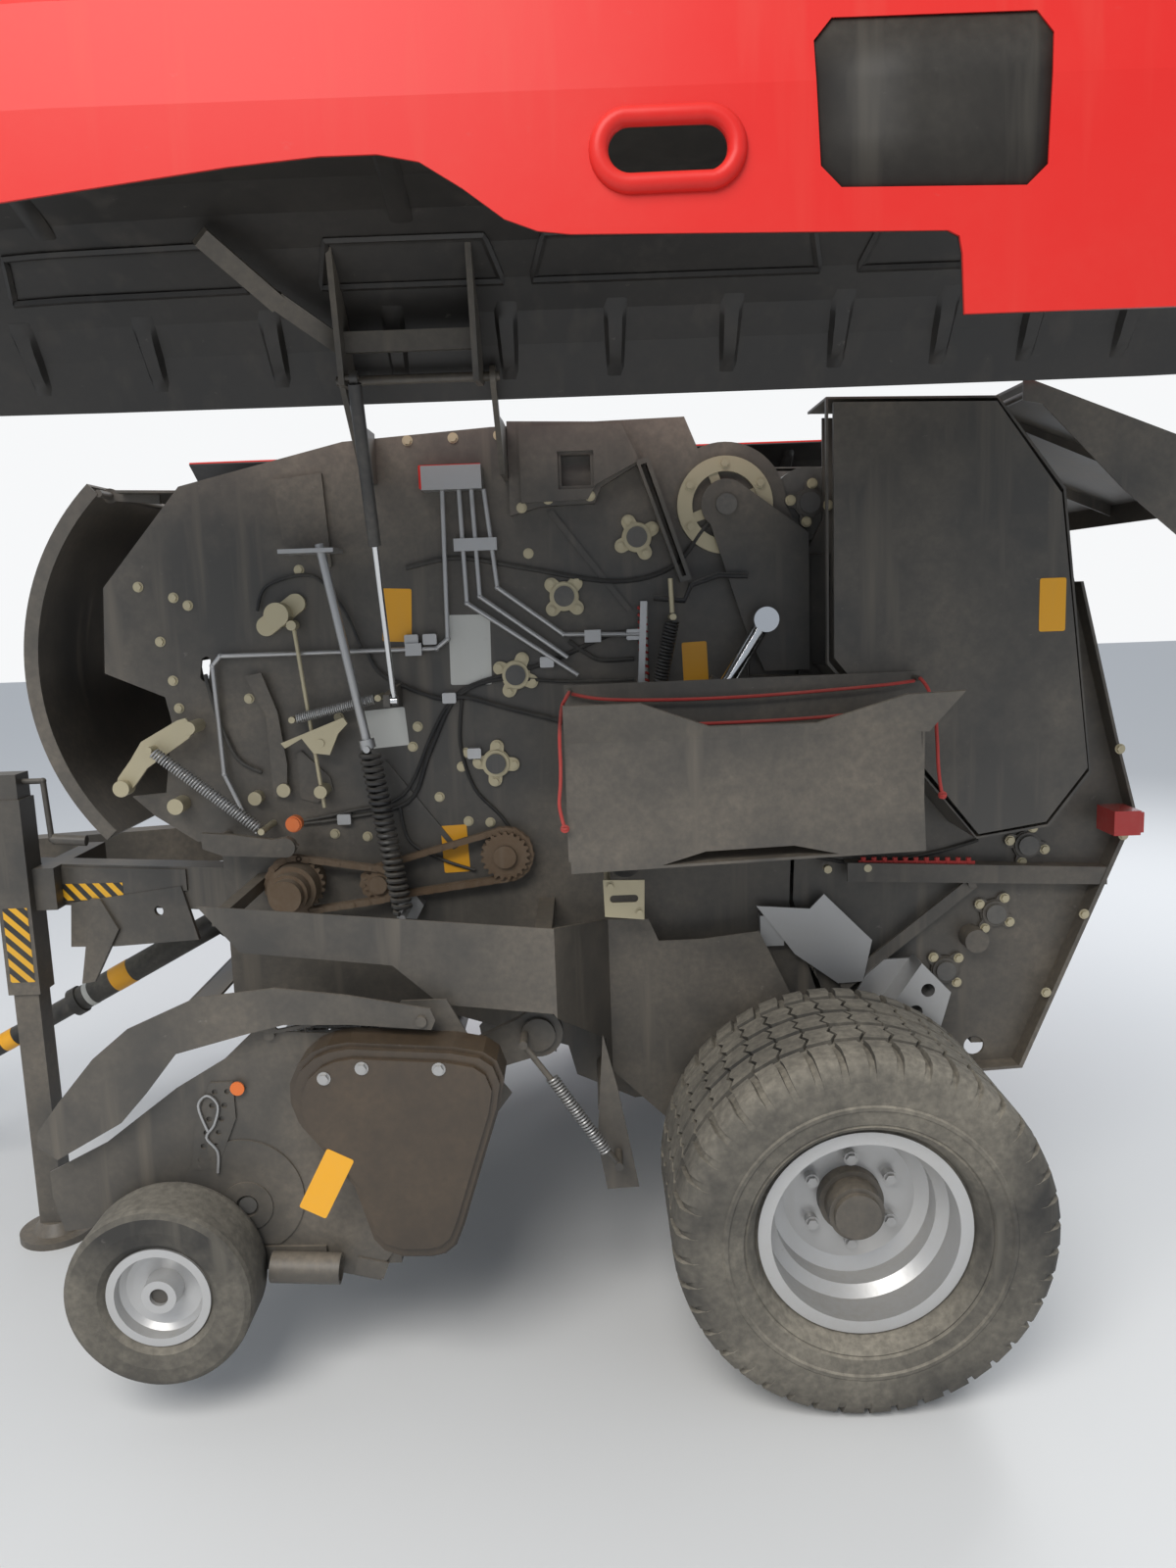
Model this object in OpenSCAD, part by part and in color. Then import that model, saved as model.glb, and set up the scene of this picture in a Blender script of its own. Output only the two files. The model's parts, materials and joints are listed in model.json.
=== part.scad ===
// Round baler with a fixed chamber of rollers, in millimetres.
// +X points to the rear, +Y to the machine's right, +Z up.
// The origin is the centre of the tow eye.
// Places are written from the point on the ground under the axle, and at_axle()
// carries them to the frame.
// The left hood and the rear hatch are drawn raised, the rest as it parks.

/* [Stance] */
// From the tow eye back to the axle
hitch_to_axle = 3420; // [3000:10:3800]
// Height of the tow eye above the ground
hitch_h = 560; // [450:5:700]

/* [Main wheels] */
// Outer radius of the tyre under load
tyre_r = 418; // [390:1:440]
// Width of the tyre
tyre_w = 495; // [400:5:520]
// Overall width over the tyres
track_over = 2480; // [2440:10:2560]
// Radius of the rim's flange
rim_r = 236; // [225:1:245]
// Wall of the pressed rim
rim_t = 9; // [6:1:12]
// Bolt circle radius of the wheel studs
stud_circle_r = 102.5; // [90:0.5:115]

/* [Bale chamber] */
// Clear width between the side plates
chamber_w = 1200; // [1100:10:1240]
// Thickness of the side plates
plate_t = 8; // [5:1:12]
// Height of the chamber's centre
chamber_h = 1326; // [1300:2:1350]
// How far the chamber's centre lies in front of the axle
chamber_ahead = 112; // [90:2:130]
// Radius of the circle that the rollers stand on
roller_circle_r = 684; // [676:1:692]
// Radius of a chamber roller
roller_r = 88; // [80:1:92]
// Angle between rollers of the tailgate
roller_pitch = 16.2; // [16:0.1:16.4]
// Angle between rollers of the front half
front_pitch = 19.1; // [18.6:0.1:19.3]

/* [Tailgate] */
// Angle of the hinge roller round the chamber
hinge_angle = 98.1; // [97.5:0.1:98.5]
// Depth of the side covers outside the plates
cover_depth = 232; // [200:2:236]
// Sheet of the covers
sheet_t = 5; // [3:1:8]

/* [Hoods] */
// Distance of the hood hinge from the centre plane
hood_hinge_y = 930; // [925:1:940]
// Height of the hood hinge
hood_hinge_h = 2266; // [2255:1:2280]
// Angle by which the left hood is raised
hood_open = 83; // [70:1:85]
// Skin of the hood
hood_t = 6; // [4:1:10]
// Liner inside the hood
liner_t = 4; // [3:1:8]
// Front end of the hoods, from the axle
hood_front = -1980; // [-2020:5:-1950]
// Rear end of the hoods, from the axle
hood_rear = 800; // [780:5:820]

/* [Pickup] */
// Outer radius of the gauge wheels
gauge_r = 205; // [190:1:215]
// Width of the gauge wheels
gauge_w = 155; // [140:5:160]
// Radius of the tine tips
tine_r = 215; // [200:1:225]
// Rows of tines
tine_rows = 4; // [3:1:5]
// Spacing of the tines along a row
tine_pitch = 70; // [60:1:80]
// Working width between the pickup's side plates
pickup_w = 2060; // [1980:10:2080]

/* [Drawbar] */
// Radius of the hole in the tow eye
eye_r = 25; // [20:0.5:28]
// Thickness of the tow eye
eye_t = 30; // [24:1:40]
// Size of the drawbar's box section
beam_h = 120; // [100:5:140]

/* [Hidden] */
$fn = 48;

axle_h = tyre_r;
wheel_y = track_over / 2 - tyre_w / 2;
side_y = chamber_w / 2;
plate_y = side_y + plate_t;
run_gap = 8;
run_fit = 0.05;
rest_gap = 0.3;
axle_half = 55;
hinge_disc_r = 150;
gauge_pin_r = 20;

chamber_x = -chamber_ahead;
hinge_x = chamber_x + roller_circle_r * cos(hinge_angle);
hinge_h = chamber_h + roller_circle_r * sin(hinge_angle);
// Rollers that stay with the front half, by angle round the chamber
front_angles = [hinge_angle, hinge_angle + front_pitch, hinge_angle + 2 * front_pitch,
                hinge_angle + 3 * front_pitch, hinge_angle + 4 * front_pitch,
                hinge_angle + 5 * front_pitch, 247, 263, 279];
// Rollers that swing with the tailgate
rear_angles = [for (i = [0:9]) 80.9 - i * roller_pitch];
shaft_r = 25;

// Moves its children from the ground point under the axle to the frame
module at_axle() translate([hitch_to_axle, 0, -hitch_h]) children();

// Draws its children on the left and again on the right
module both_sides() {
    children();
    mirror([0, 1, 0]) children();
}

// Slab of an outline in X and Z, from y0 to y1
module slab(y0, y1) translate([0, y1, 0]) rotate([90, 0, 0]) linear_extrude(y1 - y0) children();

// Round bar along Y
module bar_y(x, z, y0, y1, r) translate([x, y1, z]) rotate([90, 0, 0]) cylinder(h = y1 - y0, r = r);

// Round bar between two points
module rod(a, b, r) {
    d = b - a;
    translate(a) rotate([0, acos(d.z / norm(d)), atan2(d.y, d.x)]) cylinder(h = norm(d), r = r);
}

// Square bar between two points that share a Y, h deep and w wide
module beam(a, b, w, h) {
    d = b - a;
    turn = atan2(d.z, d.x);
    translate(a) rotate([0, -turn, 0]) translate([0, -w / 2, -h / 2]) cube([norm(d), w, h]);
}

// Square tube between two points in space
module limb(a, b, w) {
    d = b - a;
    translate(a) rotate([0, acos(d.z / norm(d)), atan2(d.y, d.x)]) translate([-w / 2, -w / 2, 0])
        cube([w, w, norm(d)]);
}

// Bent round bar through points, its corners rounded by balls
module bent(p, r) {
    for (i = [1:len(p) - 1]) rod(p[i - 1], p[i], r);
    for (i = [1:len(p) - 2]) translate(p[i]) sphere(r + 1.2);
}

// Points of an outline in X and Z set at one distance y
function at_y(p, y) = [for (q = p) [q[0], y, q[1]]];

// Slot or bar with round ends, w between the centres
module oval(w, r) {
    square([w, 2 * r], center = true);
    for (e = [-1, 1]) translate([e * w / 2, 0]) circle(r = r);
}

function on_circle(angle, r) = [chamber_x + r * cos(angle), chamber_h + r * sin(angle)];

// Wheels

// Ring turned about Y from an outline of radius against width, centred on y
module turned(x, z, y) translate([x, y, z]) rotate([90, 0, 0]) rotate_extrude($fn = 96) children();

// Tyre's wall, its beads seated at radius seat_r between flanges bead_y from the middle
module tyre_outline(r, w, bead_r, seat_r, bead_y) {
    polygon([[seat_r, -bead_y], [bead_r, -bead_y], [bead_r + 14, -w * 0.46], [r * 0.78, -w * 0.50],
             [r * 0.93, -w * 0.49], [r * 0.985, -w * 0.44], [r, -w * 0.36],
             [r, w * 0.36], [r * 0.985, w * 0.44], [r * 0.93, w * 0.49],
             [r * 0.78, w * 0.50], [bead_r + 14, w * 0.46], [bead_r, bead_y], [seat_r, bead_y],
             [seat_r, bead_y - 18], [bead_r + 6, bead_y - 22], [r * 0.80, w * 0.44],
             [r * 0.94, w * 0.38], [r * 0.94, -w * 0.38], [r * 0.80, -w * 0.44],
             [bead_r + 6, -bead_y + 22], [seat_r, -bead_y + 18]]);
}

main_rim_w = tyre_w * 0.80;
nut_r = 14;
rim_bed_r = rim_r - 22;
module main_tyre(side) at_axle() turned(0, axle_h, side * wheel_y)
    tyre_outline(tyre_r, tyre_w, rim_r + 2, rim_bed_r + rest_gap, main_rim_w / 2 - rim_t - rest_gap);

module main_rim(side) at_axle() {
    translate([0, side * wheel_y, axle_h]) rotate([0, 0, side > 0 ? 180 : 0]) {
        union() {
            rotate([90, 0, 0]) rotate_extrude($fn = 96) {
                bed = rim_bed_r;
                polygon([[rim_r - 3, -main_rim_w / 2], [rim_r - 3, -main_rim_w / 2 + rim_t],
                         [bed, -main_rim_w / 2 + rim_t], [bed, -60], [bed - 24, -40],
                         [bed - 24, 90], [bed, 110], [bed, main_rim_w / 2 - rim_t],
                         [rim_r - 3, main_rim_w / 2 - rim_t], [rim_r - 3, main_rim_w / 2],
                         [bed - rim_t, main_rim_w / 2], [bed - rim_t, 114],
                         [bed - 24 - rim_t, 94], [bed - 24 - rim_t, 42],
                         [150, 30], [74, 30], [74, 18], [152, 18], [bed - 24 - rim_t, 28],
                         [bed - 24 - rim_t, -44], [bed - rim_t, -64],
                         [bed - rim_t, -main_rim_w / 2]]);
            }
            for (i = [0:5]) rotate([0, 60 * i + 30, 0]) translate([stud_circle_r, -18, 0])
                rotate([90, 0, 0]) cylinder(h = 36, r = nut_r);
        }
    }
}

module gauge_tyre(side) at_axle()
    turned(gauge_x, gauge_h, side * gauge_y)
        tyre_outline(gauge_r, gauge_w, 116, gauge_bed_r + rest_gap, 57 - rest_gap);
gauge_bed_r = 102;

module gauge_rim(side) at_axle() {
    translate([gauge_x, side * gauge_y, gauge_h]) rotate([0, 0, side > 0 ? 180 : 0]) rotate([90, 0, 0])
        rotate_extrude($fn = 96)
            polygon([[114, -63], [114, -57], [gauge_bed_r, -57], [gauge_bed_r, -30], [90, -20],
                     [90, 20], [gauge_bed_r, 30], [gauge_bed_r, 57], [114, 57], [114, 63], [96, 63],
                     [96, 34], [84, 24], [70, 20], [42, 14], [38, 60], [gauge_pin_r + run_fit, 60],
                     [gauge_pin_r + run_fit, -50], [42, -50], [48, 4], [72, 8], [84, -22],
                     [96, -34], [96, -63]]);
}

module axle() color("#35383b") at_axle() {
    translate([-axle_half, -wheel_y + 30, axle_h - axle_half])
        cube([2 * axle_half, 2 * wheel_y - 60, 2 * axle_half]);
    both_sides() {
        bar_y(0, axle_h, -wheel_y - 18 + rest_gap, -wheel_y + 30, 125);
        bar_y(0, axle_h, -wheel_y - 60, -wheel_y, 73.5);
        bar_y(0, axle_h, -wheel_y - 115, -wheel_y - 60, 62);
        bar_y(0, axle_h, -wheel_y - 130, -wheel_y - 115, 52);
    }
}

// Chamber

// Front half of the chamber's side, seen from the left
module front_side_outline() {
    difference() {
        union() {
            polygon([[-1753, 1650], [-1736, 1859], [-1531, 2094], [-1127, 2185], [-768, 2207],
                     [-302, 2215], [hinge_x - 60, hinge_h + 130], [hinge_x + 100, hinge_h + 90],
                     [-40, hinge_h - 40], [-40, 1500], [-60, 1000], [45, 640], [100, 520],
                     [100, axle_h + axle_half], [-110, axle_h + axle_half], [-150, 520], [-470, 490],
                     [-620, 560], [-640, 640], [-1010, 760], [-1500, 790], [-1500, 1217],
                     [-1560, 1217], [-1661, 1287], [-1714, 1339], [-1628, 1345], [-1598, 1524],
                     [-1609, 1586]]);
            translate([hinge_x, hinge_h]) circle(r = hinge_disc_r);
        }
        for (a = front_angles) translate(on_circle(a, roller_circle_r)) circle(r = shaft_r + 12);
        translate([feed_x, feed_h]) circle(r = shaft_r + 12);
        // Hole for the net brake's hose
        translate([-1503, 1652]) rotate(80) oval(40, 11);
    }
}

module side_plates() color("#3f4144") at_axle() both_sides() {
    slab(-plate_y, -side_y) front_side_outline();
    // Folded edge along the roof
    translate([-1127, -plate_y, 2185]) rotate([0, -1.4, 0]) translate([0, 0, -plate_t])
        cube([820, 60, plate_t]);
    // Pressed ridges that stiffen the sheet
    slab(-plate_y - 6, -plate_y + 1) {
        polygon([[-640, 2000], [-628, 2008], [-441, 1762], [-453, 1756]]);
        polygon([[-1080, 1400], [-1068, 1408], [-900, 1180], [-912, 1174]]);
    }
    slab(-plate_y - 20, -plate_y + 1) polygon([[-1000, 900], [-1000, 912], [-420, 840], [-420, 828]]);
}

module drum(p, stub = 24) {
    bar_y(p[0], p[1], -side_y + 6, side_y - 6, roller_r);
    bar_y(p[0], p[1], -plate_y - stub, plate_y + stub, shaft_r);
}

module front_rollers() color("#4a4c4e") at_axle() {
    drum([hinge_x, hinge_h], 44);
    for (i = [1:len(front_angles) - 1]) drum(on_circle(front_angles[i], roller_circle_r));
}

module tailgate_rollers() color("#4a4c4e") at_axle()
    for (a = rear_angles) drum(on_circle(a, roller_circle_r));

// Four-armed bearing plate of cast zinc-plated steel, outside the side plates
cross_span = 118;
cross_arm = 34;
cross_t = 9;
module bearing_cross(p, turn) {
    translate([p[0], -plate_y, p[1]]) rotate([90, 0, 0]) rotate(turn) difference() {
        union() {
            linear_extrude(cross_t) {
                for (t = [0, 90]) rotate(t) oval(cross_span - cross_arm, cross_arm / 2);
                circle(r = 36);
            }
            cylinder(h = cross_t + 7, r = 33);
        }
        translate([0, 0, -1]) cylinder(h = cross_t + 9, r = shaft_r + run_fit);
    }
}

module ring_flange(p, r, inner) {
    translate([p[0], -plate_y, p[1]]) rotate([90, 0, 0]) difference() {
        cylinder(h = 14, r = r);
        translate([0, 0, -1]) cylinder(h = 16, r = inner);
    }
    bearing_cross(p, 20);
    for (t = [20, 110, 200, 290]) translate([p[0], -plate_y, p[1]]) rotate([90, 0, 0]) rotate(t)
        translate([54, -12, 0]) cube([34, 24, cross_t]);
}

module bearing_plates() color("#b9ad86") at_axle() both_sides() {
    for (i = [1:len(front_angles) - 1])
        bearing_cross(on_circle(front_angles[i], roller_circle_r), front_angles[i]);
    ring_flange([hinge_x, hinge_h], 116, 80);
}

module cross_members() color("#3a3d40") at_axle() {
    // Roof beam and front beams between the side plates
    for (p = [[-1110, 2110], [-460, 2125], [-1480, 1330]])
        translate([p[0], -side_y, p[1]]) cube([80, chamber_w, 60]);
    // Floor that carries the gearbox
    translate([-1500, -side_y, gearbox_floor_h - 30]) cube([300, chamber_w, 30]);
    both_sides() {
        // Pivot tube of the pickup, round the end of the feed rotor
        difference() {
            bar_y(feed_x, feed_h, -pivot_y, -plate_y, pivot_r);
            bar_y(feed_x, feed_h, -plate_y - 30, -plate_y + 1, shaft_r + run_fit);
        }
        // Bracket of the pickup's float spring on its cross tube
        slab(-884, -876) polygon([[-551, 772], [-520, 640], [-475, 384], [-552, 381], [-572, 501]]);
        bar_y(-548, 590, -884, -plate_y, 20);
        rod([-737, -950, 783], [-525, -950, 478], 7);
        bar_y(-735, 781, -960, -pivot_y + 2, 10);
        bar_y(-523, 475, -960, -880, 10);
        // Pin of the lift cylinder
        bar_y(lift_base[0], lift_base[1], -lift_y - 30, -plate_y, lift_pin_r);
    }
}

pivot_y = 892;
pivot_r = 40;

// Drawbar, jack and drive line

drawbar_h = 1040;
drawbar_root_x = -1420;
drawbar_splay = 13.9;
drawbar_top = drawbar_h + beam_h / 2;
cheek_t = 10;
jack_x = -2172;
module drawbar() color("#303336") at_axle() {
    // Two beams, level at the back and dropping to the hitch
    both_sides() intersection() {
        slab(-side_y, 10) polygon([[drawbar_root_x, drawbar_h - beam_h / 2], [drawbar_root_x, drawbar_top],
                                   [-2500, drawbar_top], [-3190, hitch_h + 60], [-3190, hitch_h - 30],
                                   [-2560, drawbar_h - beam_h / 2]]);
        linear_extrude(drawbar_top) polygon([[drawbar_root_x, -430], [drawbar_root_x, -350], [-2550, -70],
                                             [-3190, 1], [-3190, -80], [-2550, -150]]);
    }
    both_sides() slab(-side_y, -400) polygon([[-1500, 1120], [-1400, 1120], [-1400, 960], [-1500, 960]]);
    // Cheek under the left beam with its hole, and the hanging gusset
    translate([drawbar_root_x, -430, 0]) rotate([0, 0, -drawbar_splay]) {
        slab(-cheek_t, 1) difference() {
            polygon([[-640, 990], [-284, 1047], [-242, 896], [-508, 867], [-655, 860]]);
            translate([-360, 975]) circle(r = 14);
        }
        slab(-cheek_t - 10, -cheek_t + 1)
            polygon([[-568, 1006], [-537, 1005], [-487, 920], [-581, 763], [-624, 755]]);
        slab(-6, 1) polygon([[-708, 1092], [-268, 1094], [-268, 1034], [-700, 988]]);
    }
    translate([jack_x + 45, -jack_face_y - 60, drawbar_h - 60]) cube([60, jack_face_y + 100, 120]);
    translate([jack_x - 60, -jack_face_y, drawbar_h - 40]) cube([130, 60, 80]);
    translate([-3250, -60, hitch_h - 45]) cube([66, 120, 90]);
    // Rest for the drive shaft
    translate([-2766, -62, 238]) cube([12, 124, 12]);
    for (y = [-62, 50]) translate([-2766, y, 238]) cube([12, 12, 620]);
    translate([-2780, -110, 840]) cube([40, 220, 40]);
}
jack_face_y = 262;

module tow_eye() color("#5d5f61") at_axle() difference() {
    union() {
        translate([-hitch_to_axle, 0, hitch_h - eye_t / 2]) cylinder(h = eye_t, r = eye_r + 32);
        translate([-hitch_to_axle, -32, hitch_h - eye_t / 2])
            cube([hitch_to_axle - 3250, 64, eye_t]);
    }
    translate([-hitch_to_axle, 0, hitch_h - eye_t]) cylinder(h = 2 * eye_t, r = eye_r);
}

module parking_jack() color("#2b2d2f") at_axle() translate([jack_x, -jack_face_y - 45, 0]) {
    translate([-45, -45, 745]) cube([90, 90, 555]);
    translate([-38, -38, 1300]) cube([77, 77, 70]);
    translate([-35, -35, 20]) cube([70, 70, 730]);
    cylinder(h = 20, r = 105);
    translate([0, 0, 20]) cylinder(h = 30, r1 = 70, r2 = 48);
    // Crank with its grip
    bent([[30, 0, 1345], [96, 0, 1345], [103, 0, 1180], [196, 0, 1172]], 8);
    rod([108, 0, 1179.5], [200, 0, 1172], 15);
}

gearbox_floor_h = 820;
drive_x = -1300;
chain_pitch = 19;
drive_h = 1110;
module gearbox() color("#6b2f2a") at_axle() {
    translate([-1480, -150, gearbox_floor_h]) cube([270, 300, 330]);
    translate([-1460, -130, gearbox_floor_h + 330]) cube([230, 260, 40]);
    for (y = [-90, 0, 90]) translate([-1492, y - 5, gearbox_floor_h + 20]) cube([294, 10, 290]);
    bar_y(drive_x, drive_h, -side_y, side_y, 35);
    translate([-1540, 0, pto_h]) rotate([0, 90, 0]) cylinder(h = 70, r = 60);
}

pto_h = 900;
pto_bend = [-1620, 0, pto_h];
pto_end = [-2900, 0, 230];
module pto_shaft() color("#1f2022") at_axle() {
    translate(pto_bend) rotate([0, 90, 0]) cylinder(h = 80 - rest_gap, r = 46);
    rod(pto_bend, pto_end, 30);
    way = pto_end - pto_bend;
    // Wider half of the guard and the cones at its ends
    rod(pto_bend, pto_bend + way * 0.45, 38);
    rod(pto_bend, pto_bend + way * 0.08, 58);
    rod(pto_bend + way * 0.43, pto_bend + way * 0.45, 44);
    rod(pto_bend + way * 0.84, pto_end, 44);
}

module sprocket(p, r, y, t) slab(y, y + t) translate(p) {
    teeth = round(2 * PI * r / chain_pitch);
    polygon([for (i = [0:4 * teeth - 1], a = 90 * i / teeth) (r - (i % 4 < 2 ? 0 : 8)) * [cos(a), sin(a)]]);
}

// Outline of a belt that lies round two circles
module loop_outline(p, q, rp, rq) {
    base = atan2(q[1] - p[1], q[0] - p[0]);
    lean = acos((rp - rq) / norm(q - p));
    translate(p) circle(r = rp);
    translate(q) circle(r = rq);
    polygon([for (e = [[p, rp, 1], [q, rq, 1], [q, rq, -1], [p, rp, -1]])
                 e[0] + e[1] * [cos(base + e[2] * lean), sin(base + e[2] * lean)]]);
}

// Roller chain round two sprockets, its side plates as two bands
module chain_loop(p, q, rp, rq, y) for (e = [0, 9]) slab(y + e, y + e + 4) difference() {
    loop_outline(p, q, rp + 6, rq + 6);
    loop_outline(p, q, rp - 9, rq - 9);
}

module chain_drive() color("#4b4433") at_axle() {
    last = on_circle(front_angles[5], roller_circle_r);
    idler = [-1095, 1105];
    // Centre, radius, hub radius and the hub's inner end of each sprocket
    for (d = [[last, 62, 28, 24.3], [idler, 40, 22, 0], [[drive_x, drive_h], 70, 60, 0]]) {
        sprocket(d[0], d[1], -plate_y - 64, 9);
        bar_y(d[0][0], d[0][1], -plate_y - 80, -plate_y - d[3], d[2]);
    }
    sprocket(idler, 40, -plate_y - 40, 9);
    sprocket(last, 62, -plate_y - 40, 9);
    chain_loop([drive_x, drive_h], idler, 70, 40, -plate_y - 66);
    chain_loop(idler, last, 40, 62, -plate_y - 42);
    // Slip clutch on the drive's end
    for (e = [[86, 60], [96, 52], [104, 60], [114, 52], [122, 60], [160, 48], [190, 40]])
        bar_y(drive_x, drive_h, -plate_y - e[0], -plate_y - 78, e[1]);
}

// Net wrap box at the front, levers and springs

cover_hinge = [-1722, 2084];
cover_pin_r = 9;
module net_box() color("#26282b") at_axle() {
    translate([-1700, -side_y, 1650]) cube([6, chamber_w, 200]);
    translate([-1520, -side_y, 1990]) cube([380, chamber_w, 6]);
    bar_y(-1480, 1800, -side_y, side_y, 120);
    // Roof sheet with the lugs of the cover's hinge
    slab(-side_y, side_y) polygon([[-1535, 2080], [-1535, 2086], [-1690, 2092], [-1690, 2086]]);
    for (y = [-546, 534]) slab(y, y + 12) difference() {
        union() {
            translate(cover_hinge) circle(r = 18);
            polygon([cover_hinge + [0, -12], cover_hinge + [0, 12], [-1600, 2088], [-1600, 2060]]);
        }
        translate(cover_hinge) circle(r = cover_pin_r + run_fit);
    }
    // Black levers and plates on the left side
    slab(-plate_y - 26, -plate_y - 16)
        polygon([[-1400, 1632], [-1359, 1639], [-1326, 1541], [-1312, 1409], [-1318, 1335], [-1351, 1328],
                 [-1355, 1534]]);
    slab(-plate_y - 16.5, -plate_y) polygon([[-1345, 1500], [-1328, 1500], [-1322, 1400], [-1345, 1400]]);
    slab(-plate_y - 8, -plate_y)
        polygon([[-1290, 1433], [-1279, 1440], [-1211, 1371], [-1205, 1338], [-1248, 1306], [-1290, 1320]]);
    slab(-lever_y - 20, -lever_y - 2)
        polygon([[-1507, 1262], [-1432, 1256], [-1335, 1240], [-1299, 1246], [-1274, 1222], [-1303, 1195],
                 [-1460, 1205], [-1506, 1224]]);
    bar_y(-1480, 1232, -lever_y - 4, -plate_y, 12);
    bar_y(-1303, 1221, -lever_y - 30, -lever_y - 2, 24);
    slab(-plate_y - 14, -plate_y)
        polygon([[-1300, 2100], [-1180, 2112], [-1170, 1890], [-1200, 1880], [-1285, 1960]]);
}

module front_cover() color("#2c2e31") at_axle() {
    difference() {
        slab(-side_y - 20, side_y + 20) front_cover_outline(0);
        slab(-side_y - 14, side_y + 14) front_cover_outline(8);
    }
    bar_y(cover_hinge[0], cover_hinge[1], -side_y - 17, side_y + 17, cover_pin_r);
}

cover_r = 625;
cover_centre = [-1320, 1650];
// Curved front sheet, from its top edge to its lower lip
module front_cover_outline(inset) {
    intersection() {
        translate(cover_centre) difference() {
            circle(r = cover_r - inset, $fn = 96);
            circle(r = cover_r - 35, $fn = 96);
        }
        translate(cover_centre) polygon([[0, 0], 900 * [cos(133), sin(133)], 900 * [cos(165), sin(165)],
                                         900 * [cos(195), sin(195)], 900 * [cos(222), sin(222)]]);
    }
}

lever_y = plate_y + 110;
spring_a = [-1618, 1468];
spring_b = [-1363, 1259];
spring_c = [-1281, 1524];
spring_d = [-1068, 1570];
spring_e = [-345, 1740];
spring_f = [-385, 1560];
post_r = 8;
pipe_r = 6;
rod_head = [-1177, 1940];
rod_nut = [-1092, 1452];
rod_foot = [-1031, 1033];
module post(p, y) bar_y(p[0], p[1], -y - 12, -plate_y, post_r);

module wrap_levers() color("#c9bd8a") at_axle() {
    // Two-bolt flange bearing of the net brake
    slab(-plate_y - 14, -plate_y) translate([-1303, 1778]) rotate(35) oval(92, 24);
    bar_y(-1303, 1778, -plate_y - 60, -plate_y, 30);
    // Bent lever with the spring's tube eye
    slab(-plate_y - 80, -plate_y - 70)
        polygon([[-1649, 1485], [-1557, 1534], [-1537, 1539], [-1515, 1512], [-1533, 1489], [-1640, 1420],
                 [-1668, 1385], [-1692, 1357], [-1721, 1366], [-1714, 1398], [-1680, 1440]]);
    bar_y(-1530, 1514, -plate_y - 84, -plate_y, 16);
    bar_y(-1700, 1374, -plate_y - 104, -plate_y - 60, 20);
    bar_y(-1588, 1318, -plate_y - 60, -plate_y, 20);
    bar_y(spring_a[0], spring_a[1], -lever_y - 12, -plate_y - 70, post_r);
    post(spring_b, lever_y);
    // Small lever with its gusset
    slab(-plate_y - 72, -plate_y - 60)
        polygon([[-1312, 1468], [-1155, 1526], [-1146, 1511], [-1170, 1487], [-1194, 1435], [-1234, 1441],
                 [-1260, 1478], [-1302, 1455]]);
    bar_y(-1215, 1465, -plate_y - 76, -plate_y, 10);
    // Thin rod with its upper eye and lower disc
    rod([-1267, -plate_y - 40, 1748], [-1223, -plate_y - 40, 1300], 5);
    bar_y(-1269, 1752, -plate_y - 58, -plate_y - 20, 12);
    bar_y(-1226, 1342, -plate_y - 62, -plate_y - 8, 16);
    bar_y(-1324, 1345, -plate_y - 34, -plate_y - 26, 17);
    bar_y(-1397, 1327, -plate_y - 34, -plate_y, 17);
    // Slotted plate under the tray
    slab(-806, -800) difference() {
        polygon([[-537, 1127], [-438, 1124], [-441, 1027], [-535, 1037]]);
        translate([-488, 1080]) oval(50, 9);
    }
    bar_y(-525, 1100, -806, -plate_y, 8);
    for (p = [spring_c, spring_d, spring_e, spring_f]) post(p, plate_y + 60);
    // Eyebolt above the big spring
    rod([-349, -plate_y - 60, 1832], [-346, -plate_y - 60, 1750], 6);
}

// Coil spring between two posts, its coils drawn as ridges
module spring(a, b, y, r, wire) {
    seat = post_r + rest_gap;
    way = b - a;
    length = norm(way) - 2 * seat;
    start = a + way / norm(way) * seat;
    turns = floor(length / (1.5 * wire));
    ridge = length / turns;
    translate([start[0], -y, start[1]]) rotate([0, 90 - atan2(way[1], way[0]), 0]) rotate_extrude()
        polygon([[0, 0], for (i = [0:turns - 1]) each [[r - wire, i * ridge], [r, (i + 0.5) * ridge]],
                 [r - wire, length], [0, length]]);
}

module coil_springs() color("#9a9c9c") at_axle() {
    spring(spring_a, spring_b, lever_y, 14, 5);
    spring(spring_c, spring_d, plate_y + 60, 12, 5);
    spring(spring_e, spring_f, plate_y + 60, 18, 6);
    spring(rod_nut, rod_foot, plate_y + 104, 26, 10);
}

module tension_rod() color("#77797b") at_axle() {
    y = plate_y + 104;
    rod([rod_head[0], -y, rod_head[1]], [rod_nut[0], -y, rod_nut[1]], 11);
    rod([rod_nut[0] - 4, -y, rod_nut[1] + 22], [rod_nut[0], -y, rod_nut[1]], 19);
    translate([-1270, -y - 26, 1920]) cube([130, y + 26 - plate_y - 14, 10]);
    for (p = [rod_nut, rod_foot]) bar_y(p[0], p[1], -y - 30, -y + 30, post_r);
    bar_y(rod_foot[0], rod_foot[1], -y - 20, -plate_y, post_r);
    slab(-plate_y - 40, -plate_y)
        polygon([[-1060, 1010], [-1060, 1060], [-1010, 1068], [-990, 1040], [-1010, 1005]]);
}

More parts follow.
